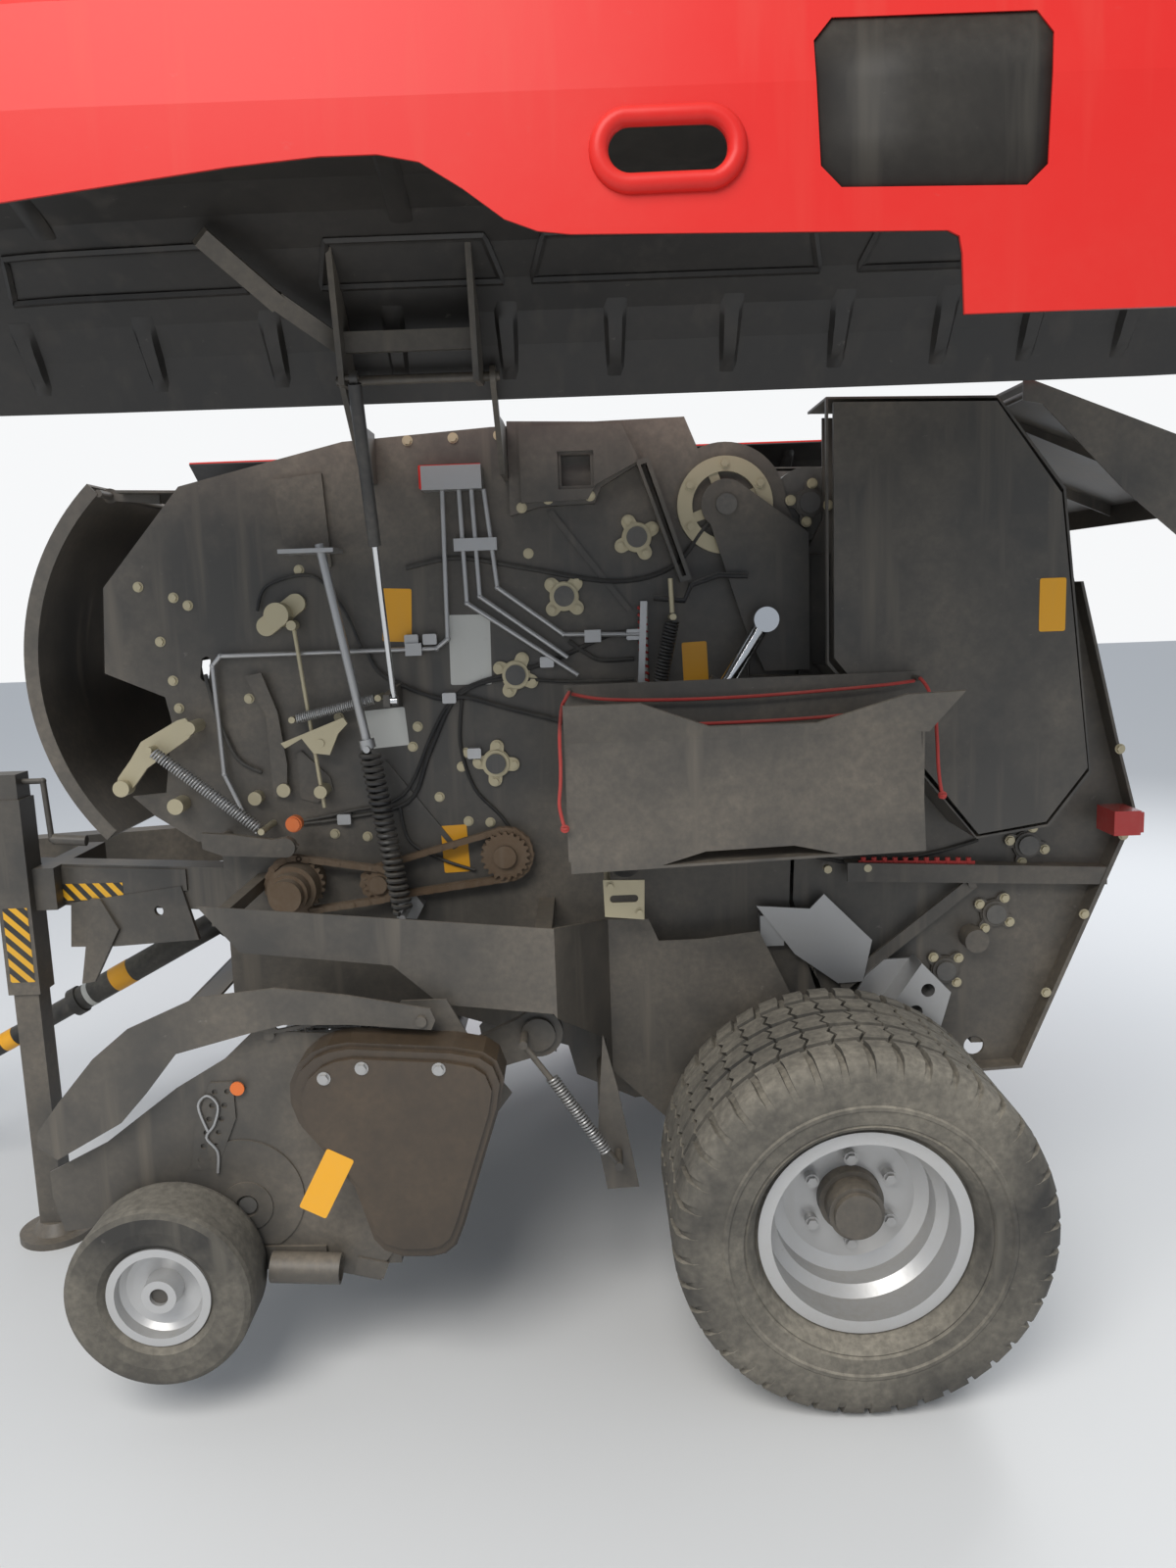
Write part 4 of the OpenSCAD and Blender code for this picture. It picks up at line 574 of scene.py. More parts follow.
# %% Trees for bolts, springs and rings of copies
WASHER_T, HEAD_UP = 0.003, 0.0045   # a washer's thickness, and the head's middle above it


def new_tree(name, **inputs):
    tree = bpy.data.node_groups.new(name, "GeometryNodeTree")
    kinds = {float: "Float", int: "Int", tuple: "Vector"}
    add_socket(tree, "Geometry", "Geometry")
    for key, value in inputs.items():
        add_socket(tree, key.replace("_", " "), kinds[type(value)], value)
    add_socket(tree, "Finish", "Material")
    add_socket(tree, "Geometry", "Geometry", in_out="OUTPUT")
    return tree, tree.nodes.new("NodeGroupInput").outputs


def finish_tree(tree, geometry, source):
    real = wire(tree, "GeometryNodeRealizeInstances", {"Geometry": geometry})
    painted = wire(tree, "GeometryNodeSetMaterial",
                   {"Geometry": real.outputs[0], "Material": source["Finish"]})
    wire(tree, "NodeGroupOutput", {"Geometry": painted.outputs[0]})
    return tree


def build_bolt_tree():
    tree, source = new_tree("bolt_on_each_point", Head_Radius=0.008, Head_Height=0.006,
                            Washer_Radius=0.011, Turn=(0.0, 0.0, 0.0))
    head = wire(tree, "GeometryNodeMeshCylinder",
                {"Radius": source["Head Radius"], "Depth": source["Head Height"], "Vertices": 6})
    washer = wire(tree, "GeometryNodeMeshCylinder",
                  {"Radius": source["Washer Radius"], "Vertices": 16, "Depth": WASHER_T})
    raised = wire(tree, "GeometryNodeTransform",
                  {"Geometry": head.outputs["Mesh"], "Translation": (0, 0, HEAD_UP)})
    both = tree.nodes.new("GeometryNodeJoinGeometry")
    tree.links.new(washer.outputs["Mesh"], both.inputs[0])
    tree.links.new(raised.outputs[0], both.inputs[0])
    spread = wire(tree, "GeometryNodeInstanceOnPoints",
                  {"Points": source["Geometry"], "Instance": both.outputs[0],
                   "Rotation": source["Turn"]})
    return finish_tree(tree, spread.outputs[0], source)


def build_spring_tree():
    tree, source = new_tree("wound_spring", Radius=0.012, Wire=0.002, Turns=20.0, Length=0.2)
    line = wire(tree, "GeometryNodeCurveSpiral",
                {"Rotations": source["Turns"], "Start Radius": source["Radius"],
                 "End Radius": source["Radius"], "Height": source["Length"], "Resolution": 14})
    section = wire(tree, "GeometryNodeCurvePrimitiveCircle",
                   {"Radius": source["Wire"], "Resolution": 7})
    coil = wire(tree, "GeometryNodeCurveToMesh",
                {"Curve": line.outputs[0], "Profile Curve": section.outputs[0],
                 "Fill Caps": True})
    return finish_tree(tree, coil.outputs[0], source)


def build_ring_tree():
    tree, source = new_tree("copies_round_axis", Count=40)
    points = wire(tree, "GeometryNodePoints", {"Count": source["Count"]})
    step = math_node(tree, "DIVIDE", 2 * math.pi, source["Count"])
    index = tree.nodes.new("GeometryNodeInputIndex").outputs[0]
    angle = math_node(tree, "MULTIPLY", index, step)
    turn = wire(tree, "ShaderNodeCombineXYZ", {"Y": angle})
    spread = wire(tree, "GeometryNodeInstanceOnPoints",
                  {"Points": points.outputs[0], "Instance": source["Geometry"],
                   "Rotation": turn.outputs[0]})
    return finish_tree(tree, spread.outputs[0], source)


def grown(tree, mesh, finish, **values):
    """The plain mesh that a tree makes of a base mesh."""
    base = linked(tree.name + "_base", mesh)
    mod = base.modifiers.new("grow", "NODES")
    mod.node_group = tree
    values["Finish"] = finishes[finish]
    for item in tree.interface.items_tree:
        key = item.name.replace(" ", "_")
        if item.in_out == "INPUT" and key in values:
            mod[item.identifier] = values[key]
    bpy.context.view_layer.update()
    graph = bpy.context.evaluated_depsgraph_get()
    result = bpy.data.meshes.new_from_object(base.evaluated_get(graph), depsgraph=graph)
    bpy.data.objects.remove(base)
    return result


bolt_tree, spring_tree, ring_tree = build_bolt_tree(), build_spring_tree(), build_ring_tree()
print("trees", bolt_tree.name, spring_tree.name, ring_tree.name)

# %% [markdown]
# ## Main tyres
# The wide tyre has a zigzag rib pattern in its middle and a row of blocks on each
# shoulder. One pitch of blocks is drawn on the crown and copied round the axle 42
# times. The carcass under it is a closed profile that is turned about the wheel's axis
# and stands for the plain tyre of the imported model.

# %% Main tyres
# Millimetres: the tyre's radius and width, the bead seat's radius and Y, the tread's
# depth, how far a block's top stands back, and the wheel's Y
TYRE_R, TYRE_W, SEAT_R, BEAD_Y, TREAD, BEVEL, WHEEL_Y = 418, 495, 214.3, 188.7, 11, 1.6, 992.5
PITCHES = 42
# Share of the width from the middle, and the share of the radius there
CROWN = ((0, 1), (0.36, 1), (0.44, 0.985), (0.47, 0.955), (0.49, 0.93), (0.5, 0.78))
# Share of the width from the middle, and the block's lean there as a share of a pitch
SHOULDER = ((0.285, 0), (0.33, 0.06), (0.36, 0.08), (0.40, 0.09), (0.44, 0.09), (0.47, 0.09),
            (0.492, 0.09))
RIB = ((0.10, 0.30), (0.15, 0.12), (0.20, 0.30), (0.255, 0.10))
MIDDLE = ((-0.07, 0.25), (-0.02, 0.05), (0.02, 0.25), (0.07, 0.05))


def crown(y):
    """Outer radius of the tyre at a place across it."""
    return TYRE_R * between(CROWN, abs(y) / TYRE_W)


def tyre_profile():
    """Closed section of the carcass, as radius and Y."""
    w, r = TYRE_W, TYRE_R
    outer = [(SEAT_R, -BEAD_Y), (238, -BEAD_Y), (252, -0.455 * w), (262, -0.475 * w),
             (266, -0.470 * w), (270, -0.482 * w), (300, -0.492 * w), (304, -0.500 * w),
             (311, -0.500 * w), (315, -0.494 * w), (0.78 * r, -0.498 * w),
             (0.86 * r, -0.494 * w), (0.91 * r, -0.484 * w)]
    outer += [(crown(s * w) - TREAD, s * w) for s in (-0.47, -0.44, -0.40, -0.36, -0.2, 0)]
    outer += [(rad, -y) for rad, y in reversed(outer[:-1])]
    inner = [(SEAT_R, BEAD_Y - 18), (244, BEAD_Y - 22), (0.80 * r, 0.44 * w), (0.92 * r, 0.37 * w)]
    return outer + inner + [(rad, -y) for rad, y in reversed(inner)]


def wheel_vert(bm, radius, y, angle):
    """Vertex round the Y axis, its radius and Y in millimetres."""
    return bm.verts.new((radius * math.sin(angle) / 1000, y / 1000,
                         radius * math.cos(angle) / 1000))


def tread_block(bm, rows):
    """Rows give a place across the tyre and the block's two ends round it."""
    foot, top = [], []
    for i, (y, s0, s1) in enumerate(rows):
        inner = BEVEL if i == 0 else -BEVEL if i == len(rows) - 1 else 0
        rad = crown(y)
        foot.append([wheel_vert(bm, rad - TREAD - 2, y, s / TYRE_R) for s in (s0, s1)])
        top.append([wheel_vert(bm, rad, y + inner, s / TYRE_R) for s in (s0 + BEVEL, s1 - BEVEL)])
    for (fa, fb), (fc, fd), (ta, tb), (tc, td) in zip(foot, foot[1:], top, top[1:]):
        for quad in ((ta, tb, td, tc), (fa, fc, fd, fb), (fa, ta, tc, fc), (fb, fd, td, tb)):
            bm.faces.new(quad)
    for i in (0, -1):
        bm.faces.new((*foot[i], *top[i][::-1]))


def block_rows(places, start, end, side=1):
    """Rows of a block that reaches from start to end, as shares of a pitch."""
    p = 2 * math.pi * TYRE_R / PITCHES
    rows = [(side * s * TYRE_W, p * (start + lean), p * (end + lean)) for s, lean in places]
    return rows[::side]


def tread_pitch():
    bm = bmesh.new()
    for side in (-1, 1):
        tread_block(bm, block_rows(SHOULDER, 0.10, 0.88, side))
        tread_block(bm, block_rows(RIB, 0.04, 0.96, side))
    tread_block(bm, block_rows(MIDDLE, 0.03, 0.97))
    return closed_mesh("tread_pitch", bm)


def make_tyre(word, side):
    bm = bmesh.new()
    profile = tyre_profile()
    skin(bm, [[wheel_vert(bm, r, y, a) for r, y in profile] for a in circle(96)], closed=True)
    bmesh.ops.recalc_face_normals(bm, faces=bm.faces)
    bm.from_mesh(grown(ring_tree, tread_pitch(), "tyre_rubber", Count=PITCHES))
    mesh = plain_mesh("main_tyre_" + word, bm)
    mesh.transform(Matrix.Translation(at(0, side * WHEEL_Y, TYRE_R)))
    mesh_piece("main_tyre_" + word, mesh, "tyre_rubber", "wheel_" + word, "tyre_rubber",
               "tyre_" + word)


for word, side in SIDES:
    make_tyre(word, side)

# %% [markdown]
# ## Bolts
# Every plate is held by zinc-plated hexagon bolts with washers. Their places are lists
# of X and Z on a plate's face. The bolt tree sets them all, one mesh for each body and
# side, and the right side mirrors what is the same there.

# %% Places of the bolts
CHAMBER, HINGE, ROLLER_CIRCLE = (-112, 1326), (-208.4, 2003.2), 684
FRONT_ANGLES = [98.1 + 19.1 * i for i in range(1, 6)] + [247, 263, 279]
REAR_ANGLES = [80.9 - 16.2 * i for i in range(10)]


def round_point(centre, radius, degrees):
    a = math.radians(degrees)
    return centre[0] + radius * math.cos(a), centre[1] + radius * math.sin(a)


def bolt_ring(centre, radius, start, count=6):
    """Places evenly round a centre, the first at a start angle."""
    return [round_point(centre, radius, start + 360 / count * k) for k in range(count)]


def roller_place(degrees):
    return round_point(CHAMBER, ROLLER_CIRCLE, degrees)


def bearing_bolts(angles):
    """Four places round the shaft of each roller."""
    return [b for a in angles for b in bolt_ring(roller_place(a), 46, a, 4)]


plate_bolts = [
    (-1650, 1858), (-1566, 1829), (-1532, 1809), (-1608, 1723), (-1585, 1626), (-1576, 1557),
    (-1400, 1575), (-1253, 1885), (-1180, 1520), (-1000, 1440), (-868, 1420), (-880, 1385),
    (-870, 1245), (-815, 1240), (-790, 1165), (-762, 1165), (-985, 1490), (-940, 1310),
    (-1330, 1395), (-1210, 1225), (-1128, 1215), (-560, 1545), (-95, 1950), (-690, 1905)]
seam_bolts = [(x, 2178 + (x + 1127) * 0.024) for x in range(-1080, -740, 110)]
hinge_bolts = bolt_ring(HINGE, 98, 30)
bracket_bolts = [(-647, 2175), (-502, 2176), (-700, 2012), (-636, 2030), (-535, 2034)]
rim_angle_bolts = [(752, 1378), (772, 1195), (768, 1160), (676, 960), (585, 757)]
print("bolts on one side of the chassis", len(plate_bolts) + len(seam_bolts) + len(hinge_bolts)
      + len(bearing_bolts(FRONT_ANGLES)) + len(bracket_bolts))


# %% Bolts on the plates, bearings and brackets
def set_bolts(name, body, groups, radius, side, finish="zinc_cream"):
    """Groups pair a Y, counted outward, with the places on that face."""
    mesh = bpy.data.meshes.new(name + "_points")
    mesh.from_pydata([at(x, side * y, z) for y, places in groups for x, z in places], [], [])
    result = grown(bolt_tree, mesh, finish, Head_Radius=radius, Head_Height=radius * 0.75,
                   Washer_Radius=radius * 1.35, Turn=(math.radians(90 * -side), 0.0, 0.0))
    return mesh_piece(name, result, finish, body, finish, smooth=False)


PLATE_Y, BEARING_Y, HINGE_Y, BRACKET_Y, RIM_ANGLE_Y = 608.5, 617.5, 622.5, 642.5, 660.5
for word, side in SIDES:
    set_bolts("plate_bolts_" + word, "chassis",
              [(PLATE_Y, plate_bolts + seam_bolts), (BEARING_Y, bearing_bolts(FRONT_ANGLES)),
               (HINGE_Y, hinge_bolts), (BRACKET_Y, bracket_bolts)], 0.0095, side)
    set_bolts("tail_bolts_" + word, "tailgate",
              [(BEARING_Y, bearing_bolts(REAR_ANGLES)), (RIM_ANGLE_Y, rim_angle_bolts)],
              0.0095, side)
    set_bolts("wheel_nuts_" + word, "wheel_" + word,
              [(WHEEL_Y + 55, bolt_ring((0, TYRE_R), 102.5, 30))], 0.0125, side, "bare_steel")
set_bolts("guard_bolts", "pickup", [(1155.5, [(-1068, 820), (-904, 812), (-1150, 800)])], 0.011,
          -1, "bare_steel")
set_bolts("gearbox_side_bolts", "chassis", [(806.5, [(-520, 1112), (-452, 1045)])], 0.008, -1)

# %% [markdown]
# ## Coil springs
# Two bright springs and two black ones, the larger of them round the tension rod, are
# wound by the spring tree. A coil is made along Z and then turned to lie between its
# two posts.

# %% Springs
POST_R = 0.010   # a coil starts this far from a post's middle


def spring_mesh(start, end, y, radius, wire_r, pitch, finish):
    a, b = at(start[0], y, start[1]), at(end[0], y, end[1])
    way = b - a
    length = way.length - 2 * POST_R
    base = bpy.data.meshes.new("spring_base")
    mesh = grown(spring_tree, base, finish, Radius=radius, Wire=wire_r, Turns=length / pitch,
                 Length=length)
    foot = Matrix.Translation(a + way.normalized() * POST_R)
    mesh.transform(foot @ way.to_track_quat("Z", "Y").to_matrix().to_4x4())
    return mesh


def spring_pair(name, finish, *springs):
    """Two springs as one piece. Each gives its ends, Y, radius, wire and pitch."""
    bm = bmesh.new()
    for spring in springs:
        bm.from_mesh(spring_mesh(*spring, finish))
    mesh_piece(name, plain_mesh(name, bm), finish, "chassis", finish, "coil_springs")


spring_pair("bright_springs", "bare_steel",
            ((-1618, 1468), (-1363, 1259), -718, 0.0125, 0.0026, 0.0075),
            ((-1281, 1524), (-1068, 1570), -668, 0.0105, 0.0022, 0.0052))
spring_pair("dark_springs", "cylinder_paint",
            ((-345, 1740), (-385, 1560), -668, 0.0155, 0.0034, 0.0082),
            ((-1092, 1452), (-1031, 1033), -712, 0.0205, 0.0062, 0.0165))

# %% [markdown]
# ## Inside of the raised hood
# The hood's black liner is a moulded tray with two rows of upright ribs and four
# shallow panels between them. The surface is worked out again from the hood's section,
# its bulge along the machine and its angle, so the ribs lie on the liner. The closed
# hood gets the same at an angle of nought.

# %% Surface of the hoods
HOOD_SHAPE = [(-42, 65), (130, -26), (300, -216), (400, -500), (440, -766), (440, -935),
              (380, -1043), (-10, -1102)]
HOOD_STATIONS = [(-1980, 0.78), (-1920, 0.86), (-1820, 0.92), (-1580, 0.97), (-1180, 1), (450, 1),
                 (680, 0.98), (800, 0.93)]
HOOD_HINGE, HOOD_OPEN = (930, 2266), 83
LINER, SINK = 10, 0.4   # how deep the liner's face lies, and a rib's foot under it
SECTION = [p.xy for p in smooth_route([(x, z, 0) for x, z in HOOD_SHAPE], 3)]


def hood_point(x, t, depth, side):
    """Place on a hood: along it, t steps round its section, and that deep inside it."""
    k = between(HOOD_STATIONS, x)
    pts = [Vector((p.x * k, p.y)) for p in SECTION]
    i = min(int(t), len(pts) - 2)
    spots = []
    for j in (i, i + 1):
        way = (pts[min(j + 1, len(pts) - 1)] - pts[max(j - 1, 0)]).normalized()
        spots.append(pts[j] - depth * Vector((-way.y, way.x)))
    out, up = spots[0].lerp(spots[1], t - i)
    a = math.radians(HOOD_OPEN if side < 0 else 0)
    out, up = out * math.cos(a) - up * math.sin(a), out * math.sin(a) + up * math.cos(a)
    return at(x, side * (HOOD_HINGE[0] + out), HOOD_HINGE[1] + up)


def return_t(out):
    """Steps round the section at which the turned-in return lies that far from the hinge."""
    for i in range(17, 21):
        near, far = SECTION[i].x, SECTION[i + 1].x
        if far <= out <= near:
            return i + (near - out) / (near - far)
    return 20.9


print("section points of the hood", len(SECTION))


# %% Ribs, panels, grip and window of the hoods
def hood_rib(bm, x, t0, t1, width, depth, side):
    """Rib across the machine that rises from the liner and widens downward."""
    rows, steps = [], 8
    for i in range(steps + 1):
        t = t0 + (t1 - t0) * i / steps
        top = LINER + SINK + depth * min(1, 3 * i / steps, 3 * (steps - i) / steps)
        w = width * (0.7 + 0.3 * i / steps)
        rows.append([bm.verts.new(hood_point(px, t, d, side)) for px, d in
                     ((x - w, LINER - SINK), (x - w * 0.6, top), (x + w * 0.6, top),
                      (x + w, LINER - SINK))])
    skin(bm, rows)
    bm.faces.new(rows[0])
    bm.faces.new(rows[-1][::-1])


def panel_rim(bm, x0, x1, side, t0=3.9, t1=5.2):
    corners = [(x0, t0), (x1, t0), (x1 - 30, t1), (x0 + 30, t1)]
    loop = [hood_point(xa + (xb - xa) * k / 8, ta + (tb - ta) * k / 8, LINER, side)
            for (xa, ta), (xb, tb) in zip(corners, corners[1:] + corners[:1]) for k in range(8)]
    tube(bm, loop, 0.009, 6, closed=True)


def oval_loop(cx, out, w, r, side):
    """Oblong with round ends on the return's face, for the rim of the grip."""
    return [hood_point(cx + (w / 2 if math.cos(a) > 0 else -w / 2) + r * math.cos(a),
                       return_t(out + r * math.sin(a)), -1, side) for a in circle(32)]


def window_pane(word, side):
    bm = bmesh.new()
    verts = [[bm.verts.new(hood_point(x, return_t(out), 3, side)) for x in (-262, -130, 0, 25)]
             for out in (130, 200, 260, 332)]
    for a, b in zip(verts, verts[1:]):
        for k in range(3):
            bm.faces.new((a[k], a[k + 1], b[k + 1], b[k]))
    pane = piece("window_pane_" + word, bm, "smoked_pane", "hood_" + word, "liner_black")
    pane.modifiers.new("thickness", "SOLIDIFY").thickness = 0.002


for word, side in SIDES:
    bm = bmesh.new()
    for x in (-1705, -1452, -1190, -935, -700, -473, -231, 0, 220, 407, 610):
        hood_rib(bm, x, 0.9, 3.3, 26, 16, side)
    for x in (-1560, -880, -120, 420):
        hood_rib(bm, x, 5.6, 15.4, 30, 12, side)
    for x0, x1 in ((-1690, -1215), (-1065, -700), (-640, -60), (20, 560)):
        panel_rim(bm, x0, x1, side)
    piece("liner_ribs_" + word, bm, "liner_black", "hood_" + word, "liner_black")
    tube_piece("grip_rim_" + word, [(oval_loop(-439, 190, 92, 38, side), 0.012, 12)], "hood_red",
               "hood_" + word, "hood_red", closed=True)
    window_pane(word, side)

# %% [markdown]
# ## Blank labels and plates
# The machine carries yellow and pale stickers. Their places and sizes are kept, and
# they stay blank. Each is a thin rounded plate on its panel's face.

# %% Labels and small plates
LABEL_R, LABEL_T = 5, 0.8
# Piece's name, finish, body, and each label's X, Z, width, height, Y and turn
LABELS = (
    ("yellow_labels", "label_yellow", "chassis",
     ((-1020, 1767, 72, 130, -608, -3), (-907, 1175, 66, 122, -608, 2),
      (-287, 1596, 62, 160, -609, 2))),
    ("yellow_label_cover", "label_yellow", "tailgate", ((505, 1740, 60, 120, -840.4, 0),)),
    ("yellow_label_guard", "label_yellow", "pickup", ((-1161, 560, 150, 64, -1155, 62),)),
    ("pale_plates", "label_pale", "chassis",
     ((-844, 1676, 102, 172, -608, -1), (-1066, 1489, 108, 96, -608, 4))),
)
for name, finish, body, rows in LABELS:
    plate_piece(name, [(rounded(x, z, w, h, LABEL_R, turn), y - LABEL_T, y)
                       for x, z, w, h, y, turn in rows], finish, body)
plate_piece("valve_plate", [(rounded(-869, 2092, 150, 56, 3), -640, -608)], "hood_red",
            "chassis", "hood_red")

# %% [markdown]
# ## Wiring and lubrication lines
# Black cables run from clip to clip over the side plate, and a bar wrapped in red
# carries the lubrication lines. They are clipped down along their length, so each is a
# fixed tube that follows given points on the plate.

# %% Cables and lubrication bar
CABLES = [
    [(-1290, 1255), (-1180, 1265), (-1020, 1300), (-960, 1420), (-900, 1540), (-840, 1590),
     (-650, 1640), (-500, 1700), (-430, 1706)],
    [(-1290, 1262), (-1170, 1282), (-1030, 1320), (-950, 1470), (-890, 1556), (-780, 1600),
     (-600, 1590), (-440, 1590)],
    [(-1100, 1690), (-1060, 1620), (-930, 1560), (-860, 1560), (-760, 1530), (-620, 1490)],
    [(-870, 1560), (-880, 1440), (-850, 1330), (-790, 1260), (-760, 1215)],
    [(-990, 1880), (-860, 1900), (-700, 1870), (-480, 1830), (-340, 1860), (-260, 1950),
     (-210, 1990)],
    [(-1360, 1790), (-1330, 1850), (-1220, 1870), (-1150, 1790), (-1110, 1690)],
    [(-600, 1690), (-560, 1660), (-520, 1640), (-440, 1640)],
    [(-1040, 1290), (-1020, 1200), (-940, 1150), (-860, 1120)],
    [(-1500, 1640), (-1480, 1540), (-1440, 1430), (-1380, 1390)],
    [(-20, 1130), (120, 1100), (300, 1120), (420, 1150)],
]


def on_plate(points, y):
    return [at(x, y, z) for x, z in points]


tube_piece("clipped_cables",
           [(smooth_route(on_plate(line, -616 - 3 * (k % 3)), 6), 0.0042 if k % 2 else 0.0055, 8)
            for k, line in enumerate(CABLES)], "cable_black", "chassis", "shaft_plastic")
tube_piece("lube_bar", [([at(-416, -622, 1565), at(-411, -622, 1778)], 0.009, 12)], "label_pale",
           "chassis")
wrap = grown(spring_tree, bpy.data.meshes.new("lube_wrap_base"), "cord_red", Radius=0.0095,
             Wire=0.0035, Turns=12.0, Length=0.205)
wrap.transform(Matrix.Translation(at(-416, -622, 1568)))
mesh_piece("lube_wrap", wrap, "cord_red", "chassis", "cord_red")

# %% [markdown]
# ## Drive chains
# A roller chain runs in two loops between three sprockets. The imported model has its
# side plates as two bands, and round-ended links with rollers are set on them here.

# %% Chain links
CHAIN_PITCH, LINK_R, LINK_T, PIN_R = 19, 7.5, 1.2, 0.0045
# Two centres, the chain's radius round each, and its Y
CHAINS = (((-1300, 1110), (-1095, 1105), 70, 40, -674),
          ((-1095, 1105), roller_place(FRONT_ANGLES[4]), 40, 62, -650))


def arc(centre, radius, start, sweep, steps):
    return [centre + radius * Vector((math.cos(a), math.sin(a)))
            for a in (start + sweep * k / steps for k in range(steps + 1))]


def loop_points(p, q, rp, rq):
    """Places and directions, one every pitch, along a chain round two sprockets."""
    p, q = Vector(p), Vector(q)
    base = math.atan2((q - p).y, (q - p).x)
    lean = math.acos((rp - rq) / (q - p).length)
    line = arc(p, rp, base + lean, 2 * math.pi - 2 * lean, 24)
    line += arc(q, rq, base - lean, 2 * lean, 16)
    line.append(line[0])
    total = sum((b - a).length for a, b in zip(line, line[1:]))
    count = int(total / CHAIN_PITCH)
    out, i, run = [], 0, 0.0
    for n in range(count):
        goal = total * n / count
        while run + (line[i + 1] - line[i]).length < goal:
            run += (line[i + 1] - line[i]).length
            i += 1
        way = (line[i + 1] - line[i]).normalized()
        out.append((line[i] + way * (goal - run), way))
    return out


def link_outline(spot, way):
    """Oblong with round ends about a link's two pins."""
    across = math.atan2(way.y, way.x) + math.pi / 2
    return (arc(spot, LINK_R, across, math.pi, 6)
            + arc(spot + way * CHAIN_PITCH, LINK_R, across - math.pi, math.pi, 6))


bm = bmesh.new()
for *sprockets, y in CHAINS:
    for n, (spot, way) in enumerate(loop_points(*sprockets)):
        reach = 7.2 if n % 2 else 9.2
        for y0 in (y - reach - LINK_T, y + reach):
            plate(bm, link_outline(spot, way), y0, y0 + LINK_T)
        tube(bm, [at(spot.x, y - 10.6, spot.y), at(spot.x, y + 10.6, spot.y)], PIN_R, 8)
piece("chain_links", bm, "rusty_steel", "chassis", "rusty_steel")

# %% [markdown]
# ## Stripes of the jack, caps of the drive
# Yellow and black stripes mark the jack's tube, and orange plastic caps close two
# openings of the drive.

# %% Stripes and caps
# X, Z, two Y, and the radius
CAPS = ((-1284, 1274, -700, -724, 0.020), (-1284, 1274, -724, -730, 0.016),
        (-1371, 739, -1046, -1050, 0.016))
plate_piece("stripes_jack",
            [([(-2206, 782), (-2138, 782), (-2138, 996), (-2206, 996)], -352.8, -352)],
            "hazard_stripes", "chassis")
tube_piece("orange_caps", [([at(x, y0, z), at(x, y1, z)], radius, 20)
                           for x, z, y0, y1, radius in CAPS], "orange_plastic", "chassis")

# %% [markdown]
# ## Small fittings of the pickup and the tailgate
# Two spring clips of bright wire secure the windguard's pin and its latch bar, a coil
# spring lies under the fender, the reel's bearing has a bolted flange, and a row of
# blocks spreads the tailgate's lubrication.

# %% Clips, small coil, flange and lubrication blocks
CLIPS = ([(-1446, 640), (-1462, 700), (-1440, 724), (-1418, 700), (-1430, 655), (-1450, 625),
          (-1428, 590), (-1432, 540)],
         [(-1062, 903), (-1040, 888), (-1015, 885), (-990, 893), (-975, 906), (-990, 915),
          (-1010, 902), (-1030, 896), (-1050, 901)])
tube_piece("wire_clips", [(smooth_route(on_plate(clip, -1047), 5), 0.0032, 8) for clip in CLIPS],
           "bare_steel", "pickup", "bare_steel")
fender_coil = spring_mesh((-679, 706), (-548, 503), -948, 0.0125, 0.0028, 0.0080, "bare_steel")
mesh_piece("fender_spring", fender_coil, "bare_steel", "chassis", "bare_steel")
set_bolts("flange_bolts_left", "pickup", [(957.5, bolt_ring((-1410, 403), 47, 15))], 0.008, -1,
          "bare_steel")

bm = bmesh.new()
plate(bm, [(108, 1096), (402, 1084), (403, 1104), (109, 1116)], -648, -640)
for k in range(11):
    x = 122 + 26.5 * k
    z = 1112 - 0.04 * (x - 122)
    tube(bm, [at(x, -644, z - 4), at(x, -644, z + 12)], 0.0065, 8)
piece("lube_blocks", bm, "cord_red", "tailgate", "cord_red")
tube_piece("lube_fittings", [([at(x, -640, 1098), at(x, -660, 1098)], 0.010, 12)
                             for x in (30, 130)], "zinc_cream", "tailgate", "zinc_cream")

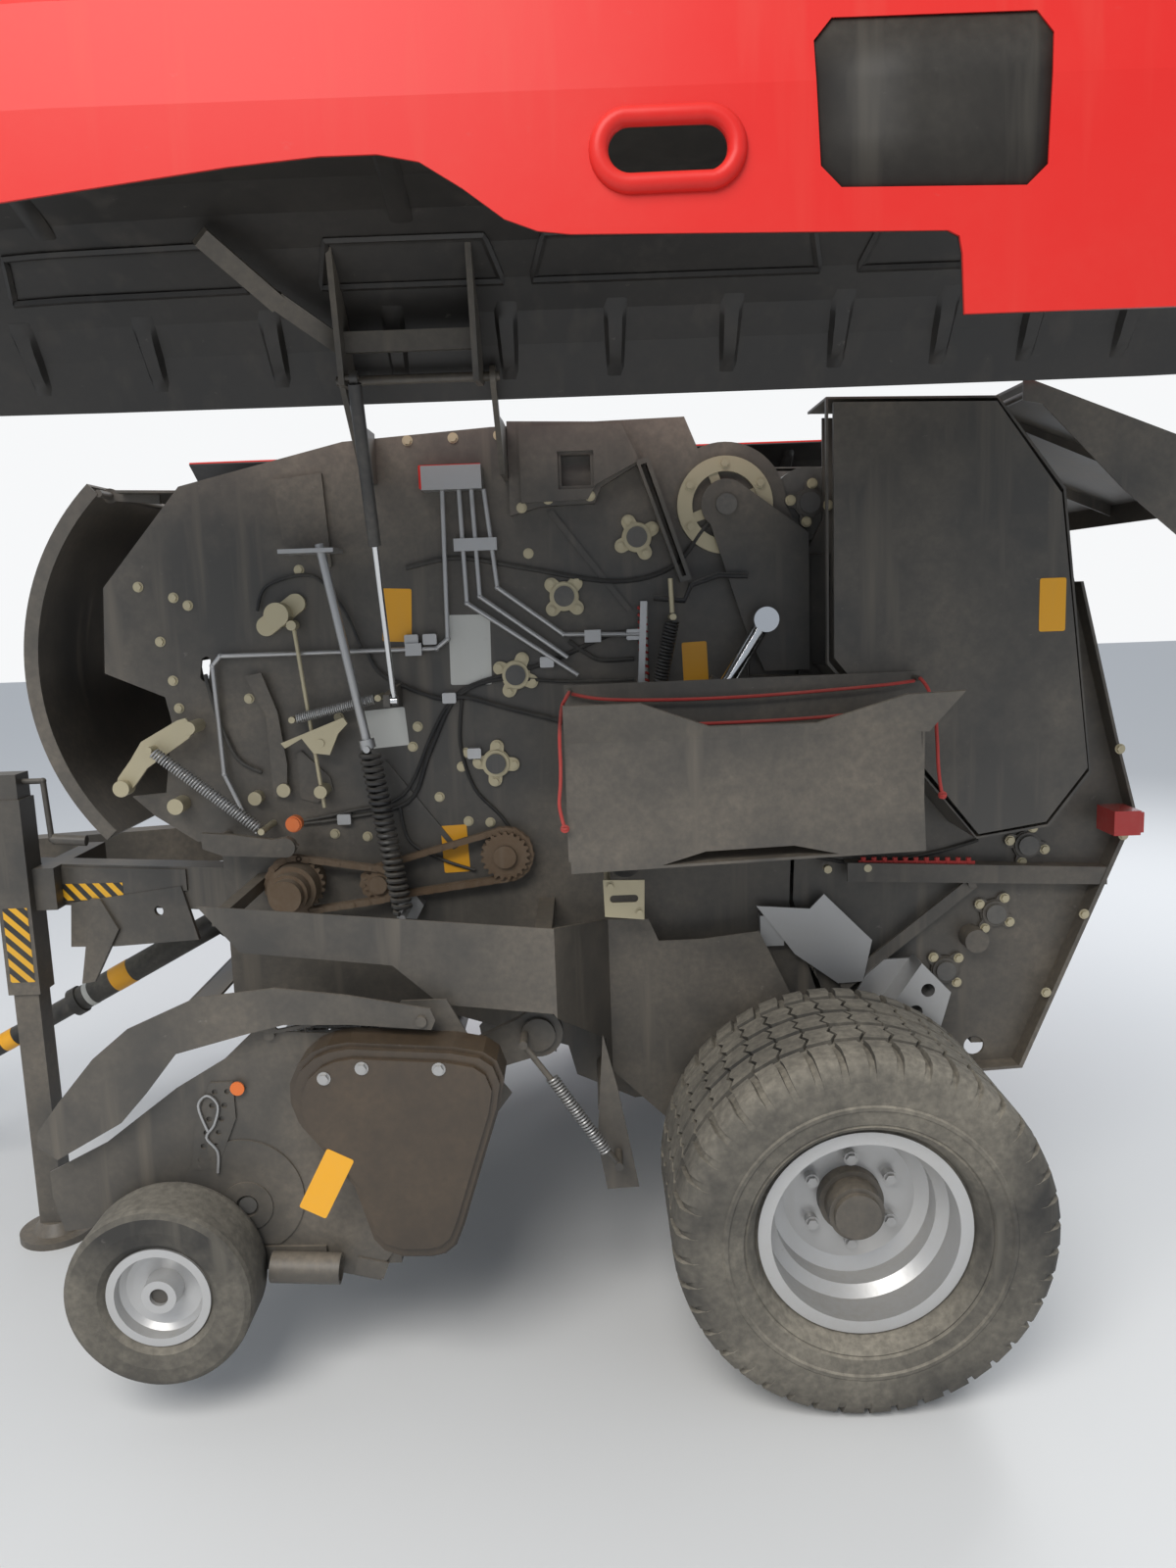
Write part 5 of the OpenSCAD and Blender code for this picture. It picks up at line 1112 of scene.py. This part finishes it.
# %% Recessed panel and pipe clamps on the side plate
RECESS = ((-156, 1886), (44, 1878), (42, 1582), (-156, 1588))
CLAMPS = ((-985, 1706), (-940, 1706), (-900, 1560), (-655, 1640), (-440, 1700), (-1180, 1265),
          (-845, 1420))
HINGE_PIPE = ((-390, 1787), (-316, 1778), (-299, 1815), (-232, 1836), (-161, 1832))
tube_piece("recess_edge", [(on_plate(RECESS, -609), 0.004, 6)], "frame_paint", "chassis",
           "frame_paint", closed=True)
plate_piece("cable_clamps", [(rounded(x, z, 34, 26, 4), -634, -608) for x, z in CLAMPS],
            "bare_steel", "chassis", "bare_steel")
tube_piece("hinge_pipe", [(on_plate(HINGE_PIPE, -660), 0.007, 10)], "cylinder_paint", "chassis",
           "cylinder_paint")

# %% [markdown]
# ## Stripes and bands at the front
# Yellow and black stripes are stuck on the drawbar, and the drive shaft's guard has two
# yellow bands and a pale ring. The drawbar's beam runs at an angle, so its sticker is
# turned with it about the beam's root.

# %% Sticker of the drawbar, bands of the drive shaft
BEAM_TURN = math.radians(13.9)
STICKER = ((470, 1006), (470, 1052), (706, 1041), (706, 992))


def beam_place(along, out, z):
    """Place on the left beam's outer face: forward of its root, off its face, and its height."""
    c, s = math.cos(BEAM_TURN), math.sin(BEAM_TURN)
    return at(-1420 - along * c - out * s, -430 + along * s - out * c, z)


bm = bmesh.new()
prism(bm, [beam_place(d, 6.8, z) for d, z in STICKER], [beam_place(d, 6.0, z) for d, z in STICKER])
piece("stripes_drawbar", bm, "hazard_stripes", "chassis")


def shaft_band(name, start, end, radius, finish):
    """Ring on the drive shaft's guard, between two shares of its length."""
    a, b = at(-1620, 0, 900), at(-2900, 0, 230)
    tube_piece(name, [([a.lerp(b, start), a.lerp(b, end)], radius, 28)], finish, "chassis",
               "shaft_plastic")


shaft_band("band_yellow", 0.30, 0.345, 0.0388, "label_yellow")
shaft_band("band_pale", 0.40, 0.412, 0.0388, "label_pale")
shaft_band("band_yellow_low", 0.60, 0.63, 0.0308, "label_yellow")
